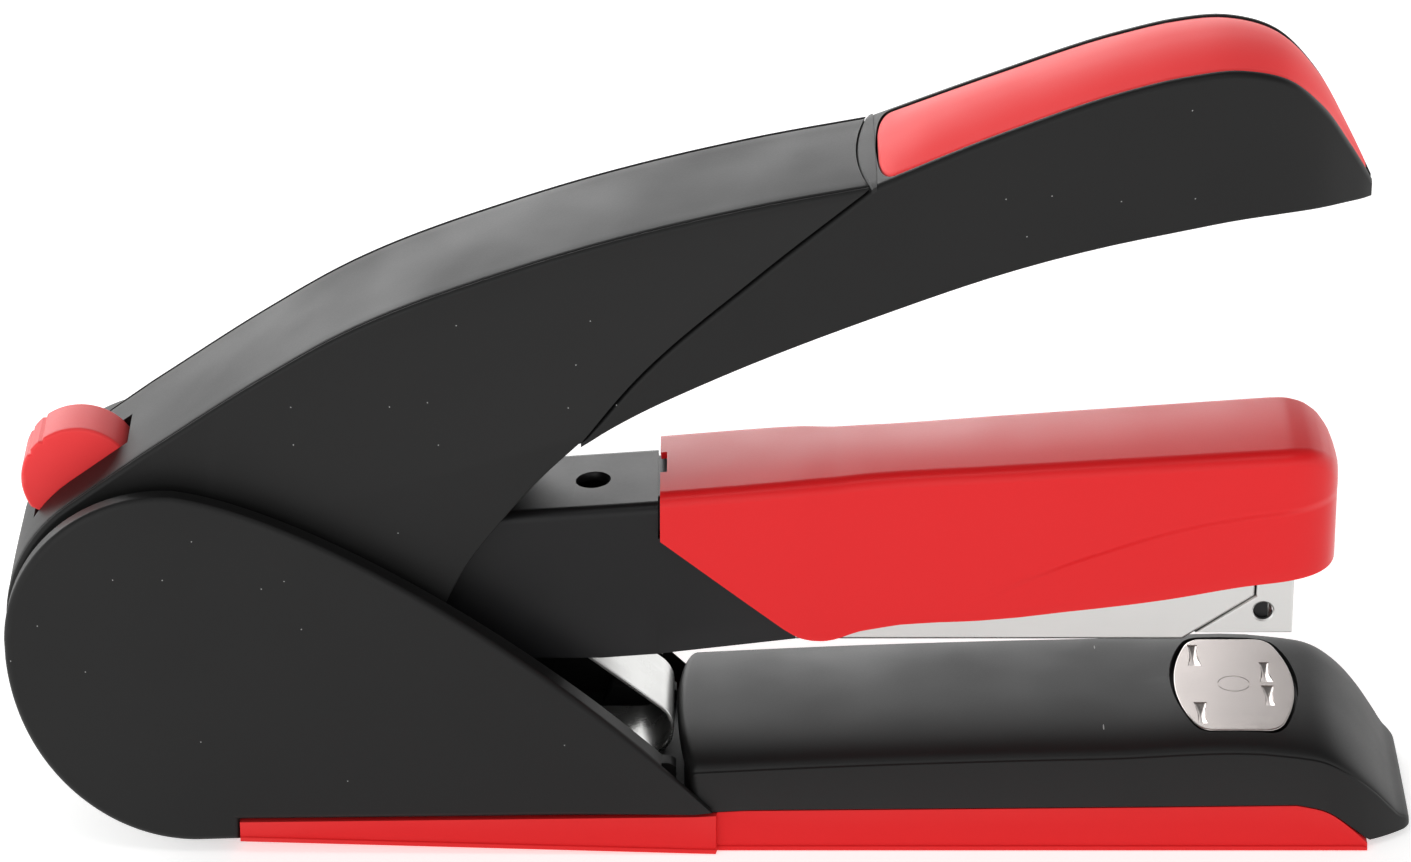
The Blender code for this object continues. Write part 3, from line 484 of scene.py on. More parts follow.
def thicken(made: bpy.types.Object, wall: float) -> bpy.types.Object:
    """Gives an open sheet a wall, inwards from its outer face."""
    step = made.modifiers.new("wall", "SOLIDIFY")
    step.thickness = wall * MM
    step.offset = -1.0
    step.use_even_offset = True
    return freeze(made)


def smooth(made: bpy.types.Object, angle: float = 35.0) -> bpy.types.Object:
    """Shades a mesh smoothly, keeping edges sharper than an angle, with flat faces left flat."""
    made.data.shade_smooth()
    made.data.set_sharp_from_angle(angle=math.radians(angle))
    step = made.modifiers.new("normals", "WEIGHTED_NORMAL")
    step.keep_sharp = True
    return freeze(made)


def finished(
    made: bpy.types.Object, material: bpy.types.Material, body: str, slot: Slot, *nodes: str, angle: float = 35.0
) -> bpy.types.Object:
    """Smooths and paints a piece, puts it on its body, and hides the CAD nodes that it stands for.

    Args:
        made: the piece, in its place.
        material: its finish.
        body: the CAD body that it rides on.
        slot: not used.
        nodes: the CAD nodes that it replaces.
        angle: edges sharper than this stay sharp.

    Returns:
        The piece.
    """
    smooth(made, angle)
    made.data.materials.clear()
    made.data.materials.append(material)
    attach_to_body(made, body)
    if nodes:
        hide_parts(*nodes)
    LOG.info("%s: %d faces on %s", made.name, len(made.data.polygons), body)
    return made


def follow(made: bpy.types.Object, node: str) -> None:
    """Gives a spring its own copy of its mesh where a joint deforms its CAD node.

    Args:
        made: the finished spring.
        node: the CAD node that it replaces.
    """
    for joint in frame["joints"]:
        for each in joint.get("deforming_nodes", ()):
            if each["node"] == node:
                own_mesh(made)


def node_box(node: str) -> tuple[Vector, Vector]:
    """The lowest and highest corner of a CAD node, in millimetres."""
    low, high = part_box(node)
    return low / MM, high / MM


# Finishes


def linear(colour: str) -> tuple[float, float, float, float]:
    """An sRGB hex colour as linear red, green, blue and full alpha."""
    values = []
    for start in (1, 3, 5):
        share = int(colour[start : start + 2], 16) / 255
        values.append(share / 12.92 if share <= 0.04045 else ((share + 0.055) / 1.055) ** 2.4)
    return (*values, 1.0)


def add(tree: bpy.types.NodeTree, kind: str, settings: dict | None = None,
        links: dict | None = None) -> bpy.types.Node:
    """Adds a node with its settings and links.

    Args:
        tree: the node tree.
        kind: the node's type.
        settings: properties by name, and values of sockets by name or number.
        links: output sockets that feed the node's inputs, by name or number.

    Returns:
        The new node.
    """
    node = tree.nodes.new(kind)
    for key, value in (settings or {}).items():
        if isinstance(key, str) and key in node.bl_rna.properties:
            setattr(node, key, value)
        else:
            node.inputs[key].default_value = value
    for key, source in (links or {}).items():
        tree.links.new(source, node.inputs[key])
    return node


def blank(name: str, shader_settings: dict) -> tuple[bpy.types.Material, bpy.types.NodeTree, bpy.types.Node]:
    """A new material with a Principled shader.

    Args:
        name: name of the material.
        shader_settings: values set on the shader's own sockets.

    Returns:
        The material, its node tree and its shader.
    """
    material = bpy.data.materials.new(name)
    material.use_nodes = True
    tree = material.node_tree
    tree.nodes.clear()
    shader = add(tree, "ShaderNodeBsdfPrincipled", shader_settings)
    add(tree, "ShaderNodeOutputMaterial", links={"Surface": shader.outputs["BSDF"]})
    material.diffuse_color = shader_settings.get("Base Color", (0.5, 0.5, 0.5, 1.0))
    return material, tree, shader


@dataclass(frozen=True)
class MouldedPlastic:
    """Injection-moulded plastic: even colour, a spark-eroded skin, and edges paler, partly as wear and partly as a
    painted highlight.
    """

    name: str
    colour: str
    edge_wear_and_highlight: str
    roughness: float
    grain_mm: float
    grain_depth_mm: float
    specular: float = 0.5
    sheen: float = 0.0
    specks: float = 0.0

    def paint(self) -> bpy.types.Material:
        """Makes the material."""
        material, tree, shader = blank(self.name, {
            "Base Color": linear(self.colour), "Specular IOR Level": self.specular,
            "Sheen Weight": self.sheen, "Sheen Roughness": 0.4, "IOR": 1.5})
        place = add(tree, "ShaderNodeTexCoord").outputs["Object"]
        grain = add(tree, "ShaderNodeTexNoise", {"Scale": 1 / (self.grain_mm * MM), "Detail": 3.0, "Roughness": 0.6},
                    {"Vector": place})
        flow = add(tree, "ShaderNodeTexNoise", {"Scale": 1 / (16 * MM), "Detail": 2.0}, {"Vector": place})
        gloss = add(tree, "ShaderNodeMapRange",
                    {"From Min": 0.3, "From Max": 0.7,
                     "To Min": self.roughness - 0.04, "To Max": self.roughness + 0.05},
                    {"Value": flow.outputs["Fac"]})
        fine = add(tree, "ShaderNodeMath", {"operation": "MULTIPLY_ADD", 1: 0.08},
                   {0: grain.outputs["Fac"], 2: gloss.outputs["Result"]})
        tree.links.new(fine.outputs["Value"], shader.inputs["Roughness"])
        bump = add(tree, "ShaderNodeBump", {"Strength": 0.6, "Distance": self.grain_depth_mm * MM},
                   {"Height": grain.outputs["Fac"]})
        tree.links.new(bump.outputs["Normal"], shader.inputs["Normal"])
        # sharp edges go paler: rubbed wear and a painted highlight of their rounding, together
        edge = add(tree, "ShaderNodeNewGeometry")
        edge_wear_and_highlight_mask = add(tree, "ShaderNodeMapRange", {"From Min": 0.53, "From Max": 0.62, "To Min": 0.0, "To Max": 0.35},
                  {"Value": edge.outputs["Pointiness"]})
        edge_wear_and_highlight_share = add(tree, "ShaderNodeMath", {"operation": "MULTIPLY"},
                   {0: edge_wear_and_highlight_mask.outputs["Result"], 1: flow.outputs["Fac"]})
        colour = add(tree, "ShaderNodeMix", {"data_type": "RGBA", 6: linear(self.colour), 7: linear(self.edge_wear_and_highlight)},
                     {"Factor": edge_wear_and_highlight_share.outputs["Value"]})
        out = colour.outputs[2]
        if self.specks:
            out = self.speckled(tree, place, out)
        tree.links.new(out, shader.inputs["Base Color"])
        return material

    def speckled(
        self, tree: bpy.types.NodeTree, place: bpy.types.NodeSocket, colour: bpy.types.NodeSocket
    ) -> bpy.types.NodeSocket:
        """Scatters a few pale specks of dust, each about 0.15 mm across, one in four cells of 6 mm.

        Args:
            tree: the material's tree.
            place: Object coordinates.
            colour: the clean colour.

        Returns:
            The colour with its specks.
        """
        parts = add(tree, "ShaderNodeSeparateXYZ", links={"Vector": place})
        side = add(tree, "ShaderNodeCombineXYZ", links={"X": parts.outputs["X"], "Y": parts.outputs["Z"]})
        cells = add(tree, "ShaderNodeTexVoronoi", {"voronoi_dimensions": "2D", "Scale": 1 / (6 * MM)},
                    {"Vector": side.outputs["Vector"]})
        near = add(tree, "ShaderNodeMath", {"operation": "LESS_THAN", 1: 0.014}, {0: cells.outputs["Distance"]})
        chosen = add(tree, "ShaderNodeMath", {"operation": "GREATER_THAN", 1: 0.75}, {0: cells.outputs["Color"]})
        share = add(tree, "ShaderNodeMath", {"operation": "MULTIPLY"}, {0: near.outputs[0], 1: chosen.outputs[0]})
        weak = add(tree, "ShaderNodeMath", {"operation": "MULTIPLY", 1: self.specks}, {0: share.outputs[0]})
        mixed = add(tree, "ShaderNodeMix", {"data_type": "RGBA", 7: linear("#d8d8d8")},
                    {"Factor": weak.outputs[0], 6: colour})
        return mixed.outputs[2]


@dataclass(frozen=True)
class SheetMetal:
    """Rolled and plated or polished sheet steel: a grain along X, and a soft cloud of handling marks."""

    name: str
    colour: str
    roughness: float
    grain_mm: float
    grain_depth_mm: float
    run: float = 40.0
    metallic: float = 1.0
    coat: float = 0.0

    def paint(self) -> bpy.types.Material:
        """Makes the material; metals keep the shader's default IOR."""
        material, tree, shader = blank(self.name, {
            "Base Color": linear(self.colour), "Metallic": self.metallic,
            "Coat Weight": self.coat, "Coat Roughness": 0.2})
        place = add(tree, "ShaderNodeTexCoord").outputs["Object"]
        fine = 1 / (self.grain_mm * MM)
        stretched = add(tree, "ShaderNodeMapping",
                        {"vector_type": "POINT", "Scale": (fine / self.run, fine, fine)}, {"Vector": place})
        lines = add(tree, "ShaderNodeTexNoise", {"Scale": 1.0, "Detail": 3.0, "Roughness": 0.55},
                    {"Vector": stretched.outputs["Vector"]})
        cloud = add(tree, "ShaderNodeTexNoise", {"Scale": 1 / (9 * MM), "Detail": 3.0}, {"Vector": place})
        gloss = add(tree, "ShaderNodeMapRange",
                    {"From Min": 0.3, "From Max": 0.7,
                     "To Min": self.roughness * 0.8, "To Max": self.roughness * 1.25},
                    {"Value": cloud.outputs["Fac"]})
        rough = add(tree, "ShaderNodeMath", {"operation": "MULTIPLY_ADD", 1: 0.1},
                    {0: lines.outputs["Fac"], 2: gloss.outputs["Result"]})
        tree.links.new(rough.outputs[0], shader.inputs["Roughness"])
        tone = add(tree, "ShaderNodeMapRange", {"From Min": 0.3, "From Max": 0.7, "To Min": 0.9, "To Max": 1.04},
                   {"Value": lines.outputs["Fac"]})
        base = linear(self.colour)
        shade = add(tree, "ShaderNodeMix", {"data_type": "RGBA", 6: tuple(v * 0.86 for v in base[:3]) + (1.0,),
                                            7: base}, {"Factor": tone.outputs["Result"]})
        tree.links.new(shade.outputs[2], shader.inputs["Base Color"])
        bump = add(tree, "ShaderNodeBump", {"Strength": 0.5, "Distance": self.grain_depth_mm * MM},
                   {"Height": lines.outputs["Fac"]})
        tree.links.new(bump.outputs["Normal"], shader.inputs["Normal"])
        return material


@dataclass(frozen=True)
class FloorCoat:
    """The studio table: matt white acrylic, lit a little from behind, as for a product on a clear ground."""

    name: str = "backlit_white_acrylic"
    colour: str = "#f4f4f3"
    glow: float = 0.55

    def paint(self) -> bpy.types.Material:
        """Makes the material."""
        material, tree, shader = blank(self.name, {
            "Base Color": linear(self.colour), "Specular IOR Level": 0.1,
            "Emission Color": linear("#ffffff"), "Emission Strength": self.glow})
        place = add(tree, "ShaderNodeTexCoord").outputs["Object"]
        mottle = add(tree, "ShaderNodeTexNoise", {"Scale": 1 / (60 * MM), "Detail": 2.0}, {"Vector": place})
        gloss = add(tree, "ShaderNodeMapRange", {"To Min": 0.8, "To Max": 0.95}, {"Value": mottle.outputs["Fac"]})
        tree.links.new(gloss.outputs["Result"], shader.inputs["Roughness"])
        return material


@dataclass
class Finishes:
    """Every finish of the stapler, made once."""

    # ABS from a finely eroded mould: a dead, even black that only greys where it mirrors the light
    black: MouldedPlastic = MouldedPlastic("moulded_black_abs", "#131313", "#343434", 0.44, 0.28, 0.012, 0.25,
                                           specks=0.5)
    # ABS from a polished mould: a clean deep red with a faint orange peel
    red: MouldedPlastic = MouldedPlastic("moulded_red_abs", "#d91a1e", "#e8403f", 0.3, 0.4, 0.012, 0.26)
    # the same red ABS, painted lighter and given sheen: a painted highlight for the light on the tab's top
    tab: MouldedPlastic = MouldedPlastic("red_abs_painted_lighter", "#f2383a", "#ff7c78", 0.42, 0.4, 0.01, 0.3,
                                         sheen=0.15)
    # soft-touch overmoulding: a light coral red, velvety, without a hard highlight
    grip: MouldedPlastic = MouldedPlastic("soft_red_elastomer", "#ff4345", "#ff7470", 0.55, 0.3, 0.012, 0.25,
                                          sheen=0.12)
    # the same red in a duller, stiffer moulding
    sole: MouldedPlastic = MouldedPlastic("moulded_red_sole", "#d4191c", "#e4524f", 0.5, 0.35, 0.01, 0.22)
    rubber: MouldedPlastic = MouldedPlastic("moulded_black_rubber", "#161616", "#2c2c2c", 0.78, 0.4, 0.03, 0.3)
    # mild steel, phosphated and lacquered black
    black_steel: MouldedPlastic = MouldedPlastic("black_lacquered_steel", "#111112", "#303032", 0.34, 0.7, 0.004, 0.25)
    # cold-rolled strip with bright zinc plating
    zinc: SheetMetal = SheetMetal("zinc_plated_steel", "#c4c4c2", 0.34, 0.12, 0.004)
    magazine: SheetMetal = SheetMetal("rolled_magazine_steel", "#d2d2d0", 0.3, 0.1, 0.004)
    # hardened strip, blank and bright
    spring: SheetMetal = SheetMetal("bright_spring_steel", "#c9c9c7", 0.22, 0.1, 0.003)
    # pressed and chromed: a nearly even mirror, its colour given a slight warm cast as a painted reflection of the red
    # cover
    chrome: SheetMetal = SheetMetal("chromed_pressed_steel", "#a8a19e", 0.14, 0.5, 0.002, run=3.0)
    made: dict[str, bpy.types.Material] = field(default_factory=dict)

    def material(self, slot: Slot) -> bpy.types.Material:
        """The material of a slot, painted the first time that it is asked for."""
        sources = {
            Slot.BLACK: self.black, Slot.RED: self.red, Slot.GRIP: self.grip, Slot.SOLE: self.sole,
            Slot.RUBBER: self.rubber, Slot.BLACK_STEEL: self.black_steel, Slot.ZINC: self.zinc,
            Slot.MAGAZINE: self.magazine, Slot.SPRING: self.spring, Slot.CHROME: self.chrome,
        }
        if slot.value not in self.made:
            self.made[slot.value] = sources[slot].paint()
        return self.made[slot.value]


# Shapes that repeat or follow a rule, grown by Geometry Nodes


def shape_tree(name: str, inputs: dict[str, str]) -> tuple[bpy.types.NodeTree, bpy.types.Node]:
    """A new geometry tree with named inputs.

    Args:
        name: name of the tree.
        inputs: socket type of each named input.

    Returns:
        The tree and its group input.
    """
    tree = bpy.data.node_groups.new(name, "GeometryNodeTree")
    tree.interface.new_socket("Geometry", in_out="INPUT", socket_type="NodeSocketGeometry")
    tree.interface.new_socket("Geometry", in_out="OUTPUT", socket_type="NodeSocketGeometry")
    for label, kind in inputs.items():
        tree.interface.new_socket(label, in_out="INPUT", socket_type=kind)
    return tree, add(tree, "NodeGroupInput")


def close_tree(tree: bpy.types.NodeTree, geometry: bpy.types.NodeSocket, finish: bpy.types.NodeSocket) -> None:
    """Ends a tree: instances made real, then one material."""
    real = add(tree, "GeometryNodeRealizeInstances", links={"Geometry": geometry})
    painted = add(tree, "GeometryNodeSetMaterial", links={"Geometry": real.outputs["Geometry"], "Material": finish})
    add(tree, "NodeGroupOutput", links={"Geometry": painted.outputs["Geometry"]})


def coil_tree() -> bpy.types.NodeTree:
    """Grows a round-wire compression spring along its own Z."""
    sizes = ("Radius", "Wire", "Length", "Turns")
    kinds = {label: "NodeSocketFloat" for label in sizes}
    kinds |= {"Start": "NodeSocketVector", "Turn": "NodeSocketVector", "Finish": "NodeSocketMaterial"}
    tree, given = shape_tree("coil_spring", kinds)
    helix = add(tree, "GeometryNodeCurveSpiral", {"Resolution": 28}, {
        "Rotations": given.outputs["Turns"], "Start Radius": given.outputs["Radius"],
        "End Radius": given.outputs["Radius"], "Height": given.outputs["Length"]})
    wire = add(tree, "GeometryNodeCurvePrimitiveCircle", {"Resolution": 10}, {"Radius": given.outputs["Wire"]})
    body = add(tree, "GeometryNodeCurveToMesh", {"Fill Caps": True},
               {"Curve": helix.outputs["Curve"], "Profile Curve": wire.outputs["Curve"]})
    placed = add(tree, "GeometryNodeTransform", links={
        "Geometry": body.outputs["Mesh"], "Translation": given.outputs["Start"], "Rotation": given.outputs["Turn"]})
    close_tree(tree, placed.outputs["Geometry"], given.outputs["Finish"])
    return tree


def screw_tree() -> bpy.types.NodeTree:
    """Puts a cross-recessed pan screw on each point, its head at the point and its shank along its own Z."""
    sizes = ("Head Radius", "Head Height", "Shank Radius", "Shank Length", "Recess")
    kinds = {label: "NodeSocketFloat" for label in sizes}
    kinds |= {"Turn": "NodeSocketVector", "Finish": "NodeSocketMaterial"}
    tree, given = shape_tree("cross_recess_screw", kinds)
    out = given.outputs
    rim = add(tree, "ShaderNodeMath", {"operation": "MULTIPLY", 1: 0.8}, {0: out["Head Radius"]})
    crown = add(tree, "GeometryNodeMeshCone", {"Vertices": 40}, {
        "Radius Top": out["Head Radius"], "Radius Bottom": rim.outputs[0], "Depth": out["Head Height"]})
    shank_up = add(tree, "ShaderNodeMath", {"operation": "MULTIPLY", 1: 0.5}, {0: out["Shank Length"]})
    shank_at = add(tree, "ShaderNodeCombineXYZ", links={"Z": shank_up.outputs[0]})
    shank = add(tree, "GeometryNodeMeshCylinder", {"Vertices": 24}, {
        "Radius": out["Shank Radius"], "Depth": out["Shank Length"]})
    shank_placed = add(tree, "GeometryNodeTransform", {}, {
        "Geometry": shank.outputs["Mesh"], "Translation": shank_at.outputs[0]})
    union = add(tree, "GeometryNodeMeshBoolean", {"operation": "UNION"})
    tree.links.new(crown.outputs["Mesh"], union.inputs["Mesh 2"])
    tree.links.new(shank_placed.outputs["Geometry"], union.inputs["Mesh 2"])
    slot_long = add(tree, "ShaderNodeMath", {"operation": "MULTIPLY", 1: 1.15}, {0: out["Head Radius"]})
    cutters = []
    for swap in (False, True):
        pair = (slot_long.outputs[0], out["Recess"])
        size = add(tree, "ShaderNodeCombineXYZ", links={
            "X": pair[swap], "Y": pair[not swap], "Z": out["Head Height"]})
        cutters.append(add(tree, "GeometryNodeMeshCube", links={"Size": size.outputs[0]}))
    cross = add(tree, "GeometryNodeMeshBoolean", {"operation": "DIFFERENCE"}, {"Mesh 1": union.outputs["Mesh"]})
    for cutter in cutters:
        tree.links.new(cutter.outputs["Mesh"], cross.inputs["Mesh 2"])
    spots = add(tree, "GeometryNodeInstanceOnPoints", links={
        "Points": out["Geometry"], "Instance": cross.outputs["Mesh"], "Rotation": out["Turn"]})
    close_tree(tree, spots.outputs["Instances"], out["Finish"])
    return tree


def grow(name: str, tree: bpy.types.NodeTree, values: dict, spots: Sequence[Point3] = ()) -> bpy.types.Object:
    """Grows a tree into a plain mesh.

    Args:
        name: name of the new object.
        tree: the geometry tree.
        values: the tree's inputs by name, lengths in metres.
        spots: points in millimetres that the tree puts its shape on.

    Returns:
        The new object, with no modifier left.
    """
    mesh = bpy.data.meshes.new(name)
    mesh.from_pydata([[value * MM for value in spot] for spot in spots], [], [])
    made = bpy.data.objects.new(name, mesh)
    step = made.modifiers.new("grow", "NODES")
    step.node_group = tree
    for socket in tree.interface.items_tree:
        if socket.in_out == "INPUT" and socket.name in values:
            step[socket.identifier] = values[socket.name]
    bpy.context.scene.collection.objects.link(made)
    return freeze(made)


# Places that several sub-assemblies share


def hinge(name: str) -> Point:
    """The X and Z of a hinge's line at rest, in millimetres."""
    joint = next(j for j in frame["joints"] if j["name"] == name)
    return joint["pos_m"][0] / MM, joint["pos_m"][2] / MM


HANDLE_HINGE = hinge("handle_press")
ARM_HINGE = hinge("arm_swing")
REAR_X = CAD_BOX[0].x / MM
FRONT_X = CAD_BOX[1].x / MM
GAP = 0.3


@dataclass
class BaseUnit:
    """The base: domed shell, side cheeks, sole, feet, screws and the return spring."""

    finishes: Finishes
    body: str = "base"
    half: float = field(default_factory=lambda: node_box("base_shell")[1].y)
    cheek_low: float = field(default_factory=lambda: node_box("cheek_left")[0].y)
    cheek_high: float = field(default_factory=lambda: node_box("cheek_left")[1].y)
    cheek_lean: float = 1.4
    tray_half: float = 13.9
    wall: float = 2.2
    rise: float = 2.5
    rim_x: float = -4.9
    rim_bow: float = 1.9
    rim_round: float = 1.3
    ledge: float = 0.35
    floor_rear: float = 5.0
    hollow_end: float = 84.0
    front_start: float = 84.0
    front_round: float = 5.0
    crease_knots: tuple[Point, ...] = (
        (-5.0, 12.1), (25.4, 13.5), (52.5, 14.3), (79.4, 14.5), (82.9, 13.8), (87.1, 11.3),
        (90.3, 8.2), (92.6, 5.3), (94.4, 3.1), (95.6, 2.5))
    seam_knots: tuple[Point, ...] = ((79.7, 7.0), (83.8, 5.9), (87.5, 3.0), (89.7, 0.8))
    screw_spots: tuple[Point, ...] = ((20.0, -10.0), (20.0, 10.0), (52.0, -10.0), (52.0, 10.0))

    def __post_init__(self) -> None:
        """Works out the crease of the dome and the seam over the sole."""
        self.crease = through(self.crease_knots, 6)
        self.heel_x = REAR_X + 31.2
        self.seam = [(self.heel_x, self.floor_rear), (-2.4, 5.8), (4.2, 6.2), (60.0, 6.75)]
        self.seam += through(self.seam_knots, 5) + [(FRONT_X, 0.8)]

    def dome(self, x: float, y: float, half: float, sink: float) -> float:
        """The height of the dome at a place, sunk by a wall."""
        share = min(abs(y) / half, 1.0)
        rise = self.rise * (1 - 0.9 * self.front_share(x) ** 2)
        return at(self.crease, x) + 0.06 + rise * (1 - share ** 2.2) ** 0.455 - sink

    def front_share(self, x: float) -> float:
        """How far x lies along the rounded front: 0 where it starts, 1 at its end."""
        return max(0.0, min(1.0, (x - self.front_start) / (FRONT_X - self.front_start)))

    def shell_loop(self, x: float, inset: float) -> list[Point3]:
        """One closed loop across the outside of the shell.

        Args:
            x: place along the shell.
            inset: how far the loop lies inside the full outside.

        Returns:
            The loop, from the bottom on one side over the dome to the other.
        """
        half = self.half - self.front_round * self.front_share(x) ** 2 - inset
        low = at(self.seam, x) + GAP + inset * 0.3
        edge = at(self.crease, x) - inset
        right = [(-half, low), (-half, edge - 0.3), (-half + 0.08, edge - 0.08), (-half + 0.2, edge)]
        inner = half - self.ledge
        top = []
        for index in range(41):
            y = -inner * math.cos(math.pi * index / 40)
            top.append((y, self.dome(x, y, inner, inset)))
        loop = right + top + [(-y, z) for y, z in reversed(right)]
        bow = self.rim_bow * max(0.0, 1 - (x - self.rim_x) / 24) ** 2
        return [(x + bow * (y / self.half) ** 2, y, z) for y, z in loop]

    def shell_under(self, loop: Sequence[Point3]) -> list[Point3]:
        """The line under the dome that belongs to a loop: one wall inside it, and thicker at the anvil."""
        x, low = loop[-1][0], loop[-1][2]
        wall = self.wall + 1.8 * min(1.0, max(0.0, (x - 56.0) / 4.0))
        half = loop[-1][1] - self.wall
        line = []
        for index in range(17):
            y = half * math.cos(math.pi * index / 16)
            place = loop[-1][0] + (loop[22][0] - loop[-1][0]) * (1 - (y / self.half) ** 2)
            high = max(low + 0.4, self.dome(x, y, self.half, wall)) if 0 < index < 16 else low
            line.append((place, y, high))
        return line

    def build_shell(self) -> None:
        """The domed shell with its open arch, the tray, the heel, and the recess of the anvil."""
        loops = []
        for index in range(6):
            angle = math.pi / 2 * index / 5
            loops.append(self.shell_loop(
                self.rim_x + self.rim_round * (1 - math.sin(angle)), self.rim_round * (1 - math.cos(angle))))
        loops.reverse()
        loops = sorted(loops, key=lambda loop: loop[22][0])
        for x in spread(-2.5, 78.0, 24) + spread(79.5, FRONT_X - 0.9, 26):
            loops.append(self.shell_loop(x, 0.0))
        for share, inset in ((0.5, 0.12), (0.2, 0.3), (0.05, 0.5), (0.0, 0.7)):
            loops.append(self.shell_loop(FRONT_X - share, inset))
        middle = next(index for index, loop in enumerate(loops) if loop[0][0] > self.hollow_end)
        under = [self.shell_under(loop) for loop in loops]
        arch = skin("base_shell_moulding", [a + b for a, b in zip(loops[:middle], under)], last_cap=False)
        front = skin("front", [a + [b[0], b[-1]] for a, b in zip(loops[middle - 1:], under[middle - 1:])],
                     first_cap=False)
        end = under[middle - 1]
        shell = attach(arch, front, solid("end", end, [list(range(len(end)))]), weld=True)
        self.cut_anvil_recess(shell)
        self.add_tray(shell)
        finished(shell, self.finishes.material(Slot.BLACK), self.body, Slot.BLACK, "base_shell", angle=32)

    def add_tray(self, shell: bpy.types.Object) -> None:
        """Adds the tray between the cheeks, the rounded heel, and the bosses of the sole screws."""
        tray_x = REAR_X + 30.0
        half = self.tray_half
        line = [(tray_x, self.floor_rear + GAP), (-2.4, 5.8 + GAP), (4.0, 6.2 + GAP), (4.0, 8.4), (tray_x, 7.6)]
        centre = (REAR_X + 25.3, 31.8)
        stop = self.heel_x - GAP
        heel = ellipse(centre, 24.0, 29.6, 215, 270, 24) + [(stop, 2.2), (stop, 6.8)]
        heel += ellipse(centre, 21.6, 27.2, 255, 215, 18)
        parts = [plate("tray", line, -half, half), plate("heel", heel, -half, half)]
        for side in (-1, 1):
            rib = [(-16.0, 7.0), (-5.0, 7.0), (-5.0, 10.4), (-6.0, 11.0), (-14.0, 11.0)]
            parts.append(plate("rib", rib, *sorted((side * 9.6, side * 12.0))))
        for x, y in self.screw_spots:
            low = at(self.seam, x) + GAP
            boss = turned("boss", [(0, 3.0), (7.0, 3.0)], (x, y, low), (0, 0, 1), 28)
            bore = turned("bore", [(0, 1.5), (low + 6.0, 1.5)], (x, y, 0), (0, 0, 1), 20)
            parts.append(combine(boss, Join.CUT, bore))
        attach(shell, *parts)

    def cut_anvil_recess(self, shell: bpy.types.Object) -> None:
        """Cuts the seat that the anvil plate drops into, and the bore of its post."""
        low, high = node_box("anvil_plate")
        middle = ((low.x + high.x) / 2, 0.0)
        outline = barrel(low, high, 0.5)
        seat = low.z - GAP
        rows = [(seat, 0.0), (seat + 1.6, 0.0), (seat + 2.2, -0.25), (seat + 3.0, -1.1), (seat + 6.0, -4.0)]
        combine(shell, Join.CUT, slab("seat", outline, rows))
        combine(shell, Join.CUT, turned("post_bore", [(0, 2.9), (30, 2.9)], (*middle, 0), (0, 0, 1), 32))

    def cheek_outline(self) -> list[Point]:
        """The side plate: round at the hinge, falling to a point at the front."""
        tip = (0.0, 6.2 + GAP)
        centre, radius = (HANDLE_HINGE[0], HANDLE_HINGE[1] - 0.6), 22.0
        line = arc(centre, radius, 178, 92, 34)
        line += bezier((centre[0] + 1.2, centre[1] + radius - 0.03), (-55.0, 51.5), (-22.0, 30.5), tip, 60)
        line += [(-2.4, 5.8 + GAP), (-20.0, 5.56 + GAP), (-40.0, 5.29 + GAP), (self.heel_x, self.floor_rear + GAP)]
        line += [(self.heel_x, 3.4), (self.heel_x, 2.2)]
        return line + ellipse((REAR_X + 25.3, 31.8), 25.0, 29.8, 270, 184, 44)

    def build_cheeks(self) -> None:
        """The two side plates, rounded along their outer edge and leaning in a little above."""
        outline = self.cheek_outline()
        share = [max(0.12, min(1.0, (0.6 - x) / 14.0)) for x, z in outline]
        for name, side in (("right", -1), ("left", 1)):
            rows = [(side * self.cheek_low, [0.0] * len(outline))]
            for place, inset in edge_rows(0.0, 2.2, 1.1, 5)[6:]:
                y = self.cheek_high - 2.2 + place
                rows.append((side * y, [inset * each for each in share]))
            loops = []
            for y, insets in rows:
                lean = self.cheek_lean * (abs(y) - self.cheek_low) / (self.cheek_high - self.cheek_low)
                loops.append([(x, y - side * lean * max(0.0, (z - 14.0) / 40.0) ** 1.5, z)
                              for x, z in inward(outline, insets)])
            cheek = skin("cheek_" + name + "_moulding", loops)
            low, high = sorted((side * 10.0, side * (self.half + GAP)))
            combine(cheek, Join.CUT, block("arch_room", (-7.0, low, 0.0), (8.0, high, 40.0)))
            finished(cheek, self.finishes.material(Slot.BLACK), self.body, Slot.BLACK, "cheek_" + name, angle=32)

    def sole_loop(self, x: float, round_off: float) -> list[Point3]:
        """One closed loop across the sole at x."""
        wide = self.cheek_high if x < 0.5 else self.half
        low = 2.0 * max(0.0, x / self.heel_x)
        high = max(at(self.seam, x), low + 0.4)
        lip = min(0.75, (high - low) * 0.5)
        slim = wide - 0.22 - round_off
        right = [(-wide + 0.25 + round_off, low), (-wide + round_off, low + min(0.2, lip * 0.3)),
                 (-wide + round_off, low + lip), (-slim, low + lip + 0.12), (-slim, high)]
        return [(x, y, z) for y, z in right + [(-y, z) for y, z in reversed(right)]]

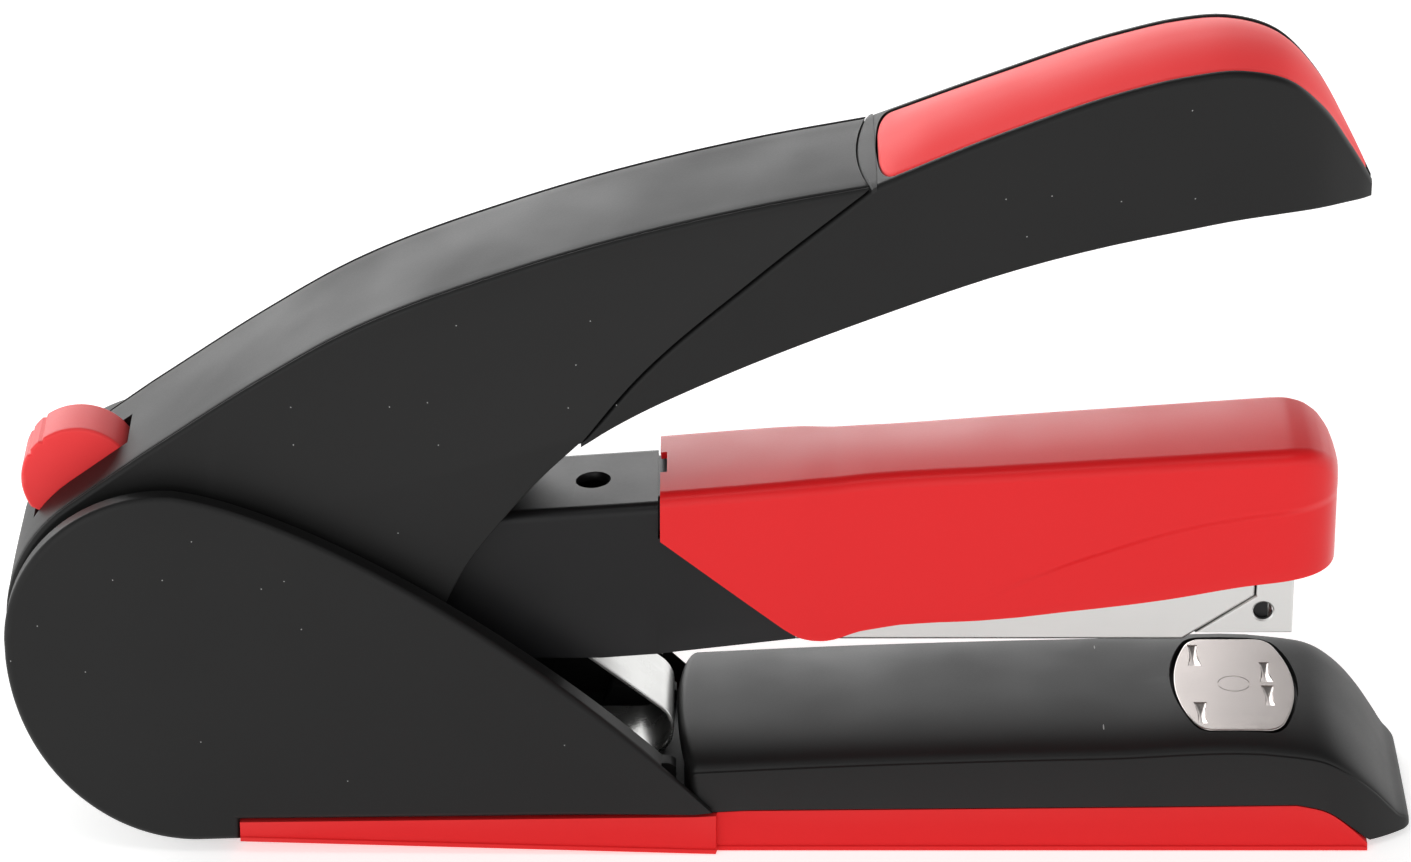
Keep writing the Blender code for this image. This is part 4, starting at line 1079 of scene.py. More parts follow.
    def build_sole(self) -> None:
        """The red sole with its lip, its pocket and its screw seats."""
        places = [self.heel_x, -50.0, -30.0, -10.0, -2.4, 0.4, 0.6, 4.2] + spread(12.0, 78.0, 12)
        places += spread(79.5, 89.4, 14)
        sole = skin("base_sole_moulding", [self.sole_loop(x, 0.0) for x in places])
        combine(sole, Join.CUT, block("pocket", (8.0, -13.5, 2.0), (81.0, 13.5, 12.0)))
        for x, y in self.screw_spots:
            top = at(self.seam, x)
            combine(sole, Join.ADD, turned("seat", [(0, 3.4), (top - 1.0, 3.4)], (x, y, 1.0), (0, 0, 1), 28))
            bore = [(-1.0, 2.9), (2.4, 2.9), (2.4, 1.7), (12.0, 1.7)]
            combine(sole, Join.CUT, turned("bore", bore, (x, y, 0.0), (0, 0, 1), 28))
        middle = (node_box("anvil_post")[0].x + node_box("anvil_post")[1].x) / 2
        combine(sole, Join.CUT, turned("finger_hole", [(-1.0, 6.6), (12.0, 6.6)], (middle, 0, 0), (0, 0, 1), 48))
        finished(sole, self.finishes.material(Slot.SOLE), self.body, Slot.SOLE, "base_sole", angle=32)
        for name in ("heel_foot_right", "heel_foot_left"):
            low, high = node_box(name)
            radius, tall = (high.x - low.x) / 2, high.z - low.z
            profile = [(0, radius - 0.5), (0.15, radius - 0.15), (0.5, radius), (tall, radius)]
            centre = ((low.x + high.x) / 2, (low.y + high.y) / 2, low.z)
            foot = turned(name + "_pad", profile, centre, (0, 0, 1), 40)
            finished(foot, self.finishes.material(Slot.RUBBER), self.body, Slot.RUBBER, name)

    def build_spring(self) -> None:
        """The return spring: a bright strip folded like a hairpin under the magazine."""
        low, high = node_box("return_spring")
        fold = (-9.9, 13.6)
        outer = [(-26.0, 9.0)] + arc(fold, 4.6, 270, 414, 28) + [(-18.6, 26.6), (-21.0, 27.2)]
        inner = [(-21.0, 26.7), (-18.9, 26.1)] + arc(fold, 4.1, 414, 270, 28) + [(-26.0, 9.5)]
        strip = plate("return_spring_strip", outer + inner, low.y, high.y, edge=0.12)
        finished(strip, self.finishes.material(Slot.SPRING), self.body, Slot.SPRING, "return_spring")
        follow(strip, "return_spring")

    def build_screws(self, screws: bpy.types.NodeTree) -> None:
        """The sole screws, heads down, and the cheek screws, heads inwards."""
        steel = self.finishes.material(Slot.ZINC)
        head = node_box("sole_screw_1")[0].z
        sizes = {"Head Radius": 2.6 * MM, "Head Height": 1.2 * MM, "Shank Radius": 1.2 * MM,
                 "Shank Length": 8.6 * MM, "Recess": 0.6 * MM, "Finish": steel}
        made = grow("sole_screws", screws, sizes, [(x, y, head) for x, y in self.screw_spots])
        finished(made, steel, self.body, Slot.ZINC, *["sole_screw_%d" % n for n in (1, 2, 3, 4)])
        spots = {}
        for number in (1, 2, 3, 4):
            low, high = node_box("cheek_screw_%d" % number)
            side = 1 if high.y > 0 else -1
            spots.setdefault(side, []).append((number, ((low.x + high.x) / 2, side * 11.1, (low.z + high.z) / 2)))
        sizes |= {"Head Radius": 2.2 * MM, "Head Height": 1.0 * MM, "Shank Length": 4.8 * MM}
        for side, found in spots.items():
            sizes["Turn"] = (-side * math.pi / 2, 0.0, 0.0)
            name = "cheek_screws_left" if side > 0 else "cheek_screws_right"
            made = grow(name, screws, sizes, [spot for number, spot in found])
            finished(made, steel, self.body, Slot.ZINC, *["cheek_screw_%d" % number for number, spot in found])

    def build(self, screws: bpy.types.NodeTree) -> None:
        """Builds and dresses every piece of the base."""
        self.build_shell()
        self.build_cheeks()
        self.build_sole()
        self.build_spring()
        self.build_screws(screws)


@dataclass
class AnvilUnit:
    """The turning anvil plate, its post and its lift spring."""

    finishes: Finishes
    rivet: float = 2.1
    pocket_depth: float = 0.45

    def build_plate(self) -> None:
        """The chromed plate: bowed sides, two pairs of clinching pockets and the flush end of its post."""
        low, high = node_box("anvil_plate")
        x0 = (low.x + high.x) / 2
        thick = high.z - low.z
        outline = barrel(low, high, 0.0)
        rows = [(low.z + place, inset) for place, inset in edge_rows(0.0, thick, 0.22, 4)]
        made = slab("anvil_plate_pressing", outline, rows)
        for along, inner, outer in ((-5.0, 5.2, 11.2), (4.6, 0.5, 6.2)):
            for side in (-1, 1):
                combine(made, Join.CUT, self.pocket(x0 + along, side * inner, side * outer, high.z))
        groove = slab("rivet_line", [*arc((x0, 0.0), self.rivet + 0.13, 0, 352.5, 47)],
                      [(high.z - 0.12, 0.0), (high.z + 0.5, 0.0)])
        core = slab("rivet_core", [*arc((x0, 0.0), self.rivet, 0, 352.5, 47)],
                    [(high.z - 0.5, 0.0), (high.z + 0.9, 0.0)])
        combine(groove, Join.CUT, core)
        combine(made, Join.CUT, groove)
        finished(made, self.finishes.material(Slot.CHROME), "anvil", Slot.CHROME, "anvil_plate", angle=30)

    def pocket(self, x: float, near: float, far: float, top: float) -> bpy.types.Object:
        """A clinching pocket: a scoop that is wide and deep at one end and narrow at the other."""
        loops = []
        for share in spread(0.0, 1.0, 9):
            y = near + (far - near) * share
            half = 0.95 - 0.4 * math.sin(math.pi * share * 0.8)
            deep = self.pocket_depth * math.sin(math.pi * (0.12 + 0.76 * share))
            loop = [(x + half * math.cos(a), y, top - deep * math.sin(a)) for a in spread(0.0, math.pi, 9)]
            loops.append(loop + [(x - half - 0.01, y, top + 0.6), (x + half + 0.01, y, top + 0.6)])
        return skin("pocket", loops)

    def build_spring(self, coils: bpy.types.NodeTree) -> None:
        """The coil spring under the plate."""
        low, high = node_box("anvil_spring")
        radius = (high.x - low.x) / 2 - 0.4
        steel = self.finishes.material(Slot.SPRING)
        made = grow("anvil_lift_spring", coils, {
            "Radius": radius * MM, "Wire": 0.4 * MM, "Length": (high.z - low.z - 0.8) * MM, "Turns": 4.0,
            "Start": ((low.x + high.x) / 2 * MM, 0.0, (low.z + 0.4) * MM), "Finish": steel})
        finished(made, steel, "base", Slot.SPRING, "anvil_spring")
        follow(made, "anvil_spring")

    def build(self, coils: bpy.types.NodeTree) -> None:
        """Builds and dresses every piece of the anvil."""
        self.build_plate()
        self.build_spring(coils)


@dataclass
class MagazineUnit:
    """The staple magazine: the fixed channel, and the drawer that slides out of its front."""

    finishes: Finishes
    wall: float = 0.6
    bottom_round: float = 0.5
    seam_top: float = 34.2
    hole_at: Point = (74.7, 31.9)
    hole_radius: float = 1.35

    def build_channel(self) -> None:
        """The fixed channel: two walls and a floor, ending in a slanted edge in front."""
        low, high = node_box("magazine_channel")
        half, floor = high.y, 27.5
        line = [(63.9, floor), (73.5, self.seam_top), (73.5, high.z), (-66.0, high.z), (-76.0, 36.0)]
        line += arc(ARM_HINGE, 4.0, 80, 270, 20) + [(-78.0, floor - 2.6), (-74.0, floor)]
        channel = plate("magazine_channel_folded", line, -half, half, edge=self.bottom_round)
        inner = half - self.wall
        inside = [(-75.0, floor + self.wall), (80.0, floor + self.wall), (80.0, 60.0), (-100.0, 60.0)]
        inside += [(-100.0, 10.0), (-75.0, 10.0)]
        combine(channel, Join.CUT, plate("inside", inside, -inner, inner))
        bore_start = (ARM_HINGE[0], -20, ARM_HINGE[1])
        combine(channel, Join.CUT, turned("bore", [(0, 1.9), (40, 1.9)], bore_start, (0, 1, 0), 28))
        finished(channel, self.finishes.material(Slot.MAGAZINE), "magazine", Slot.MAGAZINE, "magazine_channel")

    def build_front(self) -> None:
        """The front of the drawer: a folded box with its slanted rear edge and a round hole in each side."""
        low, high = node_box("drawer_front")
        line = [(65.55, low.z), (high.x, low.z), (high.x, high.z), (73.68, high.z), (73.68, self.seam_top + 0.07)]
        front = plate("drawer_front_folded", line, low.y, high.y, edge=0.45)
        inner = high.y - self.wall - 0.05
        combine(front, Join.CUT, block("inside", (50.0, -inner, low.z + self.wall), (high.x - 0.7, inner, 60.0)),
                block("exit", (76.5, -inner, 0.0), (high.x - 0.7, inner, 60.0)))
        r = self.hole_radius
        for side in (-1, 1):
            profile = [(0.0, r + 0.25), (0.2, r), (3.0, r)]
            start = (self.hole_at[0], side * (high.y + 0.02), self.hole_at[1])
            combine(front, Join.CUT, turned("hole", profile, start, (0, -side, 0), 36))
        finished(front, self.finishes.material(Slot.MAGAZINE), "drawer", Slot.MAGAZINE, "drawer_front", angle=30)

    def build_spring(self, coils: bpy.types.NodeTree) -> None:
        """The long spring behind the pusher."""
        low, high = node_box("pusher_spring")
        wire = 0.3
        steel = self.finishes.material(Slot.SPRING)
        made = grow("pusher_coil", coils, {
            "Radius": ((high.y - low.y) / 2 - wire) * MM, "Wire": wire * MM,
            "Length": (high.x - low.x - 2 * wire) * MM, "Turns": 44.0,
            "Start": ((low.x + wire) * MM, 0.0, (low.z + high.z) / 2 * MM),
            "Turn": (0.0, math.pi / 2, 0.0), "Finish": steel})
        finished(made, steel, "drawer", Slot.SPRING, "pusher_spring")
        follow(made, "pusher_spring")

    def build(self, coils: bpy.types.NodeTree) -> None:
        """Builds and dresses every piece of the magazine."""
        self.build_channel()
        self.build_front()
        self.build_spring(coils)


@dataclass
class DriverUnit:
    """The driver arm and the red cover over its front."""

    finishes: Finishes
    body: str = "arm"
    arm_half: float = 8.9
    arm_sheet: float = 1.2
    bend: float = 1.5
    hole_x: float = -16.3
    hole_radius: float = 2.25
    cover_wall: float = 1.0
    cover_round: float = 2.0
    flare: float = 0.035
    front_start: float = 74.5
    fold_depth: float = 0.6
    fold_width: float = 1.7
    top_knots: tuple[Point, ...] = ((-7.1, 50.7), (12.0, 52.4), (16.0, 52.5), (20.0, 52.9), (75.2, 56.8))
    low_knots: tuple[Point, ...] = (
        (9.5, 31.0), (11.9, 29.5), (15.2, 28.9), (19.9, 30.2), (41.3, 32.2), (61.7, 34.9),
        (72.0, 36.9), (79.0, 37.8), (84.8, 38.4))
    half_knots: tuple[Point, ...] = (
        (-7.1, 10.0), (7.0, 9.95), (11.5, 9.8), (15.5, 9.35), (19.5, 9.05), (40.0, 9.2), (76.0, 9.6))
    fold_knots: tuple[Point, ...] = (
        (33.6, 34.6), (43.6, 39.3), (52.9, 42.9), (62.2, 46.0), (71.6, 48.1), (82.0, 49.4))

    def __post_init__(self) -> None:
        """Works out the lines of the cover."""
        self.front_x = node_box("nose_cover")[1].x
        self.top = evened(self.top_knots, 4.0) + [(78.0, 56.95), (80.2, 56.6), (82.0, 55.7), (83.4, 54.2),
                                                  (84.2, 52.6), (self.front_x, 51.0)]
        self.low = [(-7.1, 44.1)] + through(self.low_knots, 4)
        self.half_line = through(self.half_knots, 6)
        self.fold = through(self.fold_knots, 4)

    def arm_top(self, x: float) -> float:
        """The flat top of the arm, which climbs a little towards the front."""
        return 48.3 + 0.0734 * (x + 16.3)

    def arm_line(self, x: float, half: float, low: float, top: float) -> list[Point3]:
        """One line across the arm: up one side, round the bend, over the top and down the other side."""
        bend = min(self.bend, (top - low) * 0.5)
        right = [(x, -half, low), (x, -half, low + (top - bend - low) * 0.5)]
        right += [(x, y, z) for y, z in arc((-half + bend, top - bend), bend, 180, 90, 7)]
        return right + [(px, -py, pz) for px, py, pz in reversed(right)]

    def build_arm(self) -> None:
        """The black steel arm: a channel round its hinge, open below, with a round hole in its top."""
        rear = ARM_HINGE[0] - 4.0
        crest = [(rear, 26.6), (rear + 0.8, 28.4), (-86.5, 29.6), (-69.5, self.arm_top(-69.5))]
        foot = [(rear, 24.4), (rear + 1.5, 22.3), (-84.0, 21.5), (-72.0, 22.5), (-60.0, 25.7), (-15.0, 25.7),
                (-7.5, 26.3), (11.0, 28.6)]
        places = [rear, rear + 0.8, -86.5, -84.0, -78.0, -72.0, -69.5, -60.0, -50.0, -40.0, -30.0, -25.0]
        places += spread(-22.0, -8.0, 15) + [-7.5, -7.4]
        lines = []
        for x in places:
            top = at(crest, x) if x < -69.5 else self.arm_top(x)
            lines.append(self.arm_line(x, self.arm_half, at(foot, x), top))
        arm = thicken(sheet_skin("driver_arm_channel", lines), self.arm_sheet)
        front = [self.arm_line(x, 7.3, self.arm_top(x) - 5.0, self.arm_top(x) - 0.05) for x in (-8.4, 30.0, 75.5)]
        parts = [thicken(sheet_skin("front", front), self.arm_sheet)]
        for side in (-1, 1):
            skirt = [(-8.0, 26.25), (-7.2, 26.35), (11.2, 28.65), (11.2, 31.5), (-6.0, 43.9), (-8.0, 43.9)]
            low, high = sorted((side * (self.arm_half - self.arm_sheet), side * self.arm_half))
            parts.append(plate("skirt", skirt, low, high))
        combine(arm, Join.ADD, *parts)
        hinge_bore = turned("bore", [(0, 1.9), (40, 1.9)], (ARM_HINGE[0], -20, ARM_HINGE[1]), (0, 1, 0), 28)
        top = self.arm_top(self.hole_x)
        hole = [(-6.0, self.hole_radius), (-0.25, self.hole_radius), (0.02, self.hole_radius + 0.22), (2.0, 2.6)]
        combine(arm, Join.CUT, hinge_bore, turned("hole", hole, (self.hole_x, 0, top), (0, 0, 1), 48))
        for x in (67.0, 71.0):
            combine(arm, Join.CUT, turned("rivet_hole", [(0, 1.3), (12, 1.3)], (x, 0, 48), (0, 0, 1), 24))
        finished(arm, self.finishes.material(Slot.BLACK_STEEL), self.body, Slot.BLACK_STEEL, "driver_arm",
                 angle=40)

    def cover_half(self, x: float, z: float) -> float:
        """Half the width of the cover at a place: flared downwards, tucked in under the side fold."""
        wide = at(self.half_line, x) + self.flare * max(0.0, 50.0 - z)
        fold = at(self.fold, x)
        if x > self.fold[0][0]:
            below = min(1.0, max(0.0, (fold - z) / self.fold_width))
            strength = min(1.0, (x - self.fold[0][0]) / 14.0)
            wide -= strength * self.fold_depth * below * below * (3 - 2 * below)
        if x > self.front_start:
            run = (x - self.front_start) / (self.front_x - self.front_start)
            wide *= max(0.0, 1 - run ** 2.7) ** (1 / 2.7)
        return wide

    def cover_line(self, x: float) -> list[Point3]:
        """One line across the cover: up one side, round the edge, over the top and down the other side."""
        top, low = at(self.top, x), at(self.low, x)
        full = self.cover_half(x, top)
        radius = min(self.cover_round, full * 0.75, (top - low) * 0.4)
        right = []
        crease = min(max(at(self.fold, x), low + self.fold_width + 0.4), top - radius - 1.0)
        heights = spread(low, crease - self.fold_width, 6)[:-1] + spread(crease - self.fold_width, crease, 7)
        for z in heights + spread(crease + 0.5, top - radius, 7)[:-1]:
            right.append((x, -self.cover_half(x, z), z))
        right += [(x, y, z) for y, z in arc((-full + radius, top - radius), radius, 180, 90, 8)]
        inner = full - radius
        right += [(x, -inner * share, top + 0.25 * (1 - share * share)) for share in (0.66, 0.33)]
        return right + [(x, 0.0, top + 0.25)] + [(px, -py, pz) for px, py, pz in reversed(right)]

    def build_cover(self) -> None:
        """The red cover: thin walled, slanted behind, softly widened at its waist and round in front."""
        places = [-7.1, -6.9] + spread(-6.0, 8.5, 10) + spread(9.5, 21.5, 25) + spread(23.5, 72.0, 28)
        places += towards(73.5, self.front_x, 22)
        cover = thicken(sheet_skin("nose_cover_moulding", [self.cover_line(x) for x in places]), self.cover_wall)
        combine(cover, Join.CUT, block("notch", (-8.0, -2.9, 46.0), (-6.2, 3.1, 60.0)))
        finished(cover, self.finishes.material(Slot.RED), self.body, Slot.RED, "nose_cover", angle=38)

    def build(self) -> None:
        """Builds and dresses every piece of the arm."""
        self.build_arm()
        self.build_cover()


@dataclass
class HandleUnit:
    """The handle: rear hood, front lever with its soft grip, and the release button in the tail."""

    finishes: Finishes
    body: str = "handle"
    half: float = 12.0
    hood_wall: float = 2.2
    tail_radius: float = 22.3
    crown: float = 0.15
    button_at: Point = (HANDLE_HINGE[0] - 12.3, HANDLE_HINGE[1] + 17.7)
    button_hinge: Point = (HANDLE_HINGE[0] - 9.2, HANDLE_HINGE[1] + 13.8)
    button_radius: float = 7.8
    button_half: float = 4.0
    grip_rear: float = 21.5
    grip_full: float = 24.0
    grip_front: float = 86.3
    rim: float = 1.25
    collar_reach: float = 1.7
    collar_gap: float = 0.12
    hood_knots: tuple[Point, ...] = (
        (HANDLE_HINGE[0] - 3.0, 58.0), (REAR_X + 35.6, 69.2), (REAR_X + 45.0, 75.0),
        (REAR_X + 70.5, 85.6), (REAR_X + 101.7, 94.3), (REAR_X + 116.9, 97.3))
    seam_knots: tuple[Point, ...] = ((-17.6, 59.4), (-10.5, 68.6), (6.2, 84.4), (21.3, 97.3))
    front_knots: tuple[Point, ...] = (
        (-17.9, 59.6), (-22.4, 55.1), (-28.7, 47.6), (-33.1, 41.4), (-35.2, 37.4), (-38.0, 31.0))
    rim_knots: tuple[Point, ...] = (
        (21.3, 97.3), (37.9, 104.2), (54.2, 110.1), (61.3, 111.9), (68.4, 112.6),
        (74.7, 111.0), (79.7, 106.4), (83.7, 100.0), (86.4, 95.0), (87.6, 92.6))
    under_knots: tuple[Point, ...] = (
        (-17.6, 59.2), (-10.0, 63.9), (-1.7, 68.2), (24.7, 79.4), (56.3, 89.0), (74.7, 92.0), (83.7, 91.7),
        (87.6, 91.0))
    half_knots: tuple[Point, ...] = (
        (-17.6, 12.0), (21.3, 12.0), (36.0, 11.2), (54.0, 10.9), (66.0, 10.6),
        (74.7, 9.4), (79.7, 7.6), (83.7, 4.9), (86.4, 2.4), (87.6, 0.8))

    def __post_init__(self) -> None:
        """Works out the lines that hood, lever and grip share."""
        self.hood_top = arc(HANDLE_HINGE, self.tail_radius, 205, 129, 36) + through(self.hood_knots, 12)
        self.seam = through(self.seam_knots, 12)
        self.rim_line = through(self.rim_knots, 8)
        self.under = through(self.under_knots, 8)
        self.half_line = through(self.half_knots, 8)

    def edge_profile(self) -> list[tuple[float, float, float]]:
        """(Y, drop of the top, inset of the other edges) from one side face to the middle of the hood.

        The top ends in a fine groove and a small rounded rim.
        """
        half = self.half
        rows = [(half, 0.62, 0.35), (half - 0.1, 0.34, 0.1), (half - 0.26, 0.12, 0.0), (half - 0.42, 0.02, 0.0),
                (half - 0.56, 0.02, 0.0), (half - 0.66, 0.1, 0.0), (half - 0.7, 0.42, 0.0),
                (half - 0.9, 0.42, 0.0), (half - 0.98, 0.1, 0.0), (half - 1.3, -0.04, 0.0)]
        rows += [(half * share, 0.0, 0.0) for share in (0.75, 0.58, 0.4, 0.2, 0.0)]
        return [(y, drop + self.crown * (y / half) ** 2, inset) for y, drop, inset in rows]

    def build_hood(self) -> None:
        """The hood: a curved spine over two flat sides, open below, round at its tail."""
        top = evened(self.hood_top, 1.6) + [(24.0, 97.9)]
        right = [(24.0, 70.0), *through(self.front_knots, 5)]
        inside = arc(HANDLE_HINGE, 9.0, 310, 195, 24) + arc(HANDLE_HINGE, 17.1, 190, 205, 4)
        outline = top + right + inside
        rows = []
        for y, drop, inset in self.edge_profile():
            rows.append((y, [drop] * len(top) + [inset] * (len(outline) - len(top))))
        rows += [(-y, insets) for y, insets in reversed(rows[:-1])]
        hood = across("handle_hood_moulding", outline, rows)
        inner_top = lowered(evened(self.hood_top, 4.0), self.hood_wall + self.crown)
        inner_top[0] = (inner_top[0][0] - 2.0, inner_top[0][1] - 8.0)
        inner = inner_top + [(60.0, 92.0), (20.0, 10.0), (-60.0, 10.0)]
        reach = self.half - self.hood_wall
        x, z = self.button_at
        slot = self.button_half + GAP
        past = lowered([(-18.6, 58.1), *self.seam, (23.5, 99.0)], -0.25)
        past += [(40.0, 120.0), (60.0, 120.0), (60.0, 50.0), (-10.0, 50.0)]
        combine(hood, Join.CUT, plate("hollow", inner, -reach, reach), plate("seam", past, -20, 20),
                turned("bore", [(0, 2.8), (60, 2.8)], (HANDLE_HINGE[0], -30, HANDLE_HINGE[1]), (0, 1, 0), 40),
                turned("slot", [(0, self.button_radius + 0.55), (2 * slot, self.button_radius + 0.55)],
                       (x, -slot, z), (0, 1, 0), 72),
                turned("slot_pressed", [(0, self.button_radius + 0.4), (2 * slot, self.button_radius + 0.4)],
                       (x + 0.75, -slot, z + 0.5), (0, 1, 0), 72), self.collar("collar_room", self.collar_gap))
        low, high = node_box("drive_roller")
        pin = ((low.x + high.x) / 2, -30, (low.z + high.z) / 2)
        combine(hood, Join.CUT, turned("pin_bore", [(0, 1.8), (60, 1.8)], pin, (0, 1, 0), 28))
        finished(hood, self.finishes.material(Slot.BLACK), self.body, Slot.BLACK, "handle_hood", angle=32)

    def collar(self, name: str, room: float) -> bpy.types.Object:
        """The lip of the lever, which reaches back over the seam in a bow.

        Args:
            name: name of the object.
            room: how far every side moves outwards, for the cut in the hood.

        Returns:
            The lip as a solid.
        """
        loops = []
        for y in spread(-self.half - room + 0.02, self.half + room - 0.02, 25):
            rear = self.seam[-1][0] - self.collar_reach * (1 - (y / (self.half + room)) ** 2) - 0.6 - room
            edge = 0.5 * max(0.0, abs(y) - self.half + 0.6) ** 2
            foot = 95.4 - room
            lip = at(self.hood_top, rear) - edge
            if room:
                line = [(rear, foot), (rear, lip), (rear, 105.0), (30.0, 105.0), (30.0, foot)]
            else:
                line = [(rear, foot), (rear, lip - 0.25), (rear + 0.25, lip + 0.05),
                        (21.4, 97.42 - edge), (21.4, foot)]
            loops.append([(x, y, z) for x, z in line])
        return skin(name, loops)

    def bed_half(self, x: float) -> float:
        """Half the width of the grip's bed: round behind, and then along the rim."""
        full = at(self.half_line, x) - min(self.rim, 0.5 * at(self.half_line, x))
        if x >= self.grip_full:
            return full
        run = max(0.0, (x - self.grip_rear) / (self.grip_full - self.grip_rear))
        return full * (1 - (1 - run) ** 2.6) ** (1 / 2.6)

    def lever_loop(self, x: float) -> list[Point3]:
        """One closed loop across the lever: flat below, round rims, and a bed between them."""
        half, low = at(self.half_line, x), at(self.under, x)
        top = min(at(self.rim_line, x), at(self.seam, x)) if x < self.seam[-1][0] else at(self.rim_line, x)
        top = max(top, low + 0.6)
        edge = min(0.9, 0.4 * half, 0.4 * (top - low))
        under = min(0.5, 0.3 * half, 0.2 * (top - low))
        bed = self.bed_half(x)
        deep = min(1.8, 0.6 * (top - low)) if bed > 0.4 else 0.0
        lift = 0.25 if x > self.seam[-1][0] else 0.0
        right = [(-half + under, low), (-half + 0.3 * under, low + 0.3 * under), (-half, low + under)]
        right += arc((-half + edge, top - edge), edge, 180, 90, 6)
        rim_in = max(0.0, min(bed + 0.12, half - edge - 0.02))
        right += [(-(rim_in + half - edge) / 2, top + 0.04 * lift), (-rim_in, top), (-bed, top - 0.15 * min(1, deep)),
                  (-bed, top - deep)]
        loop = right + [(-y, z) for y, z in reversed(right)]
        return [(x, y, z) for y, z in loop]

    def build_lever(self) -> None:
        """The front moulding: wedge behind the seam, bed of the grip, and the drooping tip."""
        wedge = [x for x, z in evened(self.seam, 1.6)][:-1]
        places = wedge + [21.3, self.grip_rear - 0.05] + spread(self.grip_rear + 0.05, self.grip_full + 0.1, 14)
        places += spread(25.0, 70.0, 41) + spread(71.0, 87.2, 36)
        lever = skin("handle_lever_moulding", [self.lever_loop(x) for x in places])
        hollow = []
        for x in [-25.0, -12.0, 0.0, 12.0, 24.0, 36.0, 48.0, 60.0, 70.0, 76.0, 79.0]:
            half = at(self.half_line, x) - 2.0
            top = at(self.seam, x) + 4.0 if x < self.seam[-1][0] else at(self.rim_line, x) - 3.8
            if x < -17.6:
                top = 66.0
            hollow.append([(x, -half, 40.0), (x, -half, top), (x, half, top), (x, half, 40.0)])
        combine(lever, Join.CUT, skin("hollow", hollow))
        for number in (1, 2):
            low, high = node_box("frame_screw_%d" % number)
            x = (low.x + high.x) / 2
            foot = low.z + 5.2
            top = at(self.rim_line, x - 3.2) - 2.4
            combine(lever, Join.ADD, turned("boss", [(0, 3.2), (top - foot, 3.2)], (x, 0, foot), (0, 0, 1), 32))
            bore = turned("bore", [(0, 1.4), (high.z + 0.3 - foot + 1, 1.4)], (x, 0, foot - 1), (0, 0, 1), 24)
            combine(lever, Join.CUT, bore)
        attach(lever, self.collar("collar", 0.0))
        finished(lever, self.finishes.material(Slot.BLACK), self.body, Slot.BLACK, "handle_lever", angle=32)

    def build_grip(self) -> None:
        """The soft pad: crowned, bulging behind, drawn out to a point over the tip."""
        places = [self.grip_rear + 0.3 + 2.4 * (1 - math.cos(math.pi / 2 * i / 12)) for i in range(1, 13)]
        places += spread(25.0, 68.0, 39) + towards(69.0, self.grip_front, 34)
        loops = []
        for x in places:
            bed = self.bed_half(x - 0.22 * (x < self.grip_full))
            half = max(0.05, bed - 0.22)
            rim = at(self.rim_line, x)
            deep = min(1.5, 0.5 * (rim - at(self.under, x)))
            bulge = 1.5 * min(1.0, half / 7.0) * min(1.0, 0.35 + (x - self.grip_rear) / 10)
            shoulder = min(0.9, half * 0.5)
            right = [(-half, rim - deep), (-half, rim - 0.5)]
            right += [(-half + shoulder * (1 - math.cos(a)), rim - 0.5 + 0.55 * math.sin(a))
                      for a in spread(0.0, math.pi / 2, 5)[1:]]
            flat = half - shoulder
            right += [(-flat * share, rim + 0.05 + bulge * (1 - share ** 2.2))
                      for share in (0.85, 0.68, 0.5, 0.3, 0.12)]
            loop = right + [(-y, z) for y, z in reversed(right)]
            loops.append([(x, y, z) for y, z in loop])
        pad = skin("grip_pad_overmoulding", loops)
        finished(pad, self.finishes.material(Slot.GRIP), self.body, Slot.GRIP, "grip_pad", angle=60)

    def build_button(self) -> None:
        """The release tab: a half disc with two fine finger grooves."""
        outline = []
        for index in range(61):
            angle = 20 + 192 * index / 60
            radius = self.button_radius - (0.32 if index in (34, 40) else 0.0)
            outline += arc(self.button_at, radius, angle, angle, 1)[:1]
        x, z = self.button_hinge
        outline += [(x - 4.0, z - 3.0), (x + 2.4, z - 3.4), (x + 3.6, z - 0.5)]
        tab = plate("release_button_moulding", outline, -self.button_half, self.button_half, edge=0.55)
        combine(tab, Join.CUT, turned("bore", [(0, 1.5), (20, 1.5)], (x, -10, z), (0, 1, 0), 28))
        # the tab's finish is the red ABS painted lighter, a painted highlight for the light falling on its top
        finished(tab, self.finishes.tab.paint(), "button", Slot.RED, "release_button", angle=26)

    def build_hardware(self, screws: bpy.types.NodeTree, coils: bpy.types.NodeTree) -> None:
        """The screws of the inner frame and the button's spring."""
        steel = self.finishes.material(Slot.ZINC)
        spots = []
        for number in (1, 2):
            low, high = node_box("frame_screw_%d" % number)
            spots.append(((low.x + high.x) / 2, 0.0, low.z))
        sizes = {"Head Radius": 2.6 * MM, "Head Height": 1.2 * MM, "Shank Radius": 1.2 * MM,
                 "Shank Length": 6.9 * MM, "Recess": 0.6 * MM, "Finish": steel}
        made = grow("frame_screws", screws, sizes, spots)
        finished(made, steel, self.body, Slot.ZINC, "frame_screw_1", "frame_screw_2")
        low, high = node_box("button_spring")
        wire = 0.25
        spring = self.finishes.material(Slot.SPRING)
        made = grow("button_coil", coils, {
            "Radius": ((high.x - low.x) / 2 - wire) * MM, "Wire": wire * MM,
            "Length": (high.y - low.y - 2 * wire) * MM, "Turns": 5.0,
            "Start": (self.button_hinge[0] * MM, (low.y + wire) * MM, self.button_hinge[1] * MM),
            "Turn": (-math.pi / 2, 0.0, 0.0), "Finish": spring})
        finished(made, spring, self.body, Slot.SPRING, "button_spring")
        follow(made, "button_spring")

    def build(self, screws: bpy.types.NodeTree, coils: bpy.types.NodeTree) -> None:
        """Builds and dresses every piece of the handle."""
        self.build_hood()
        self.build_lever()
        self.build_grip()
        self.build_button()
        self.build_hardware(screws, coils)


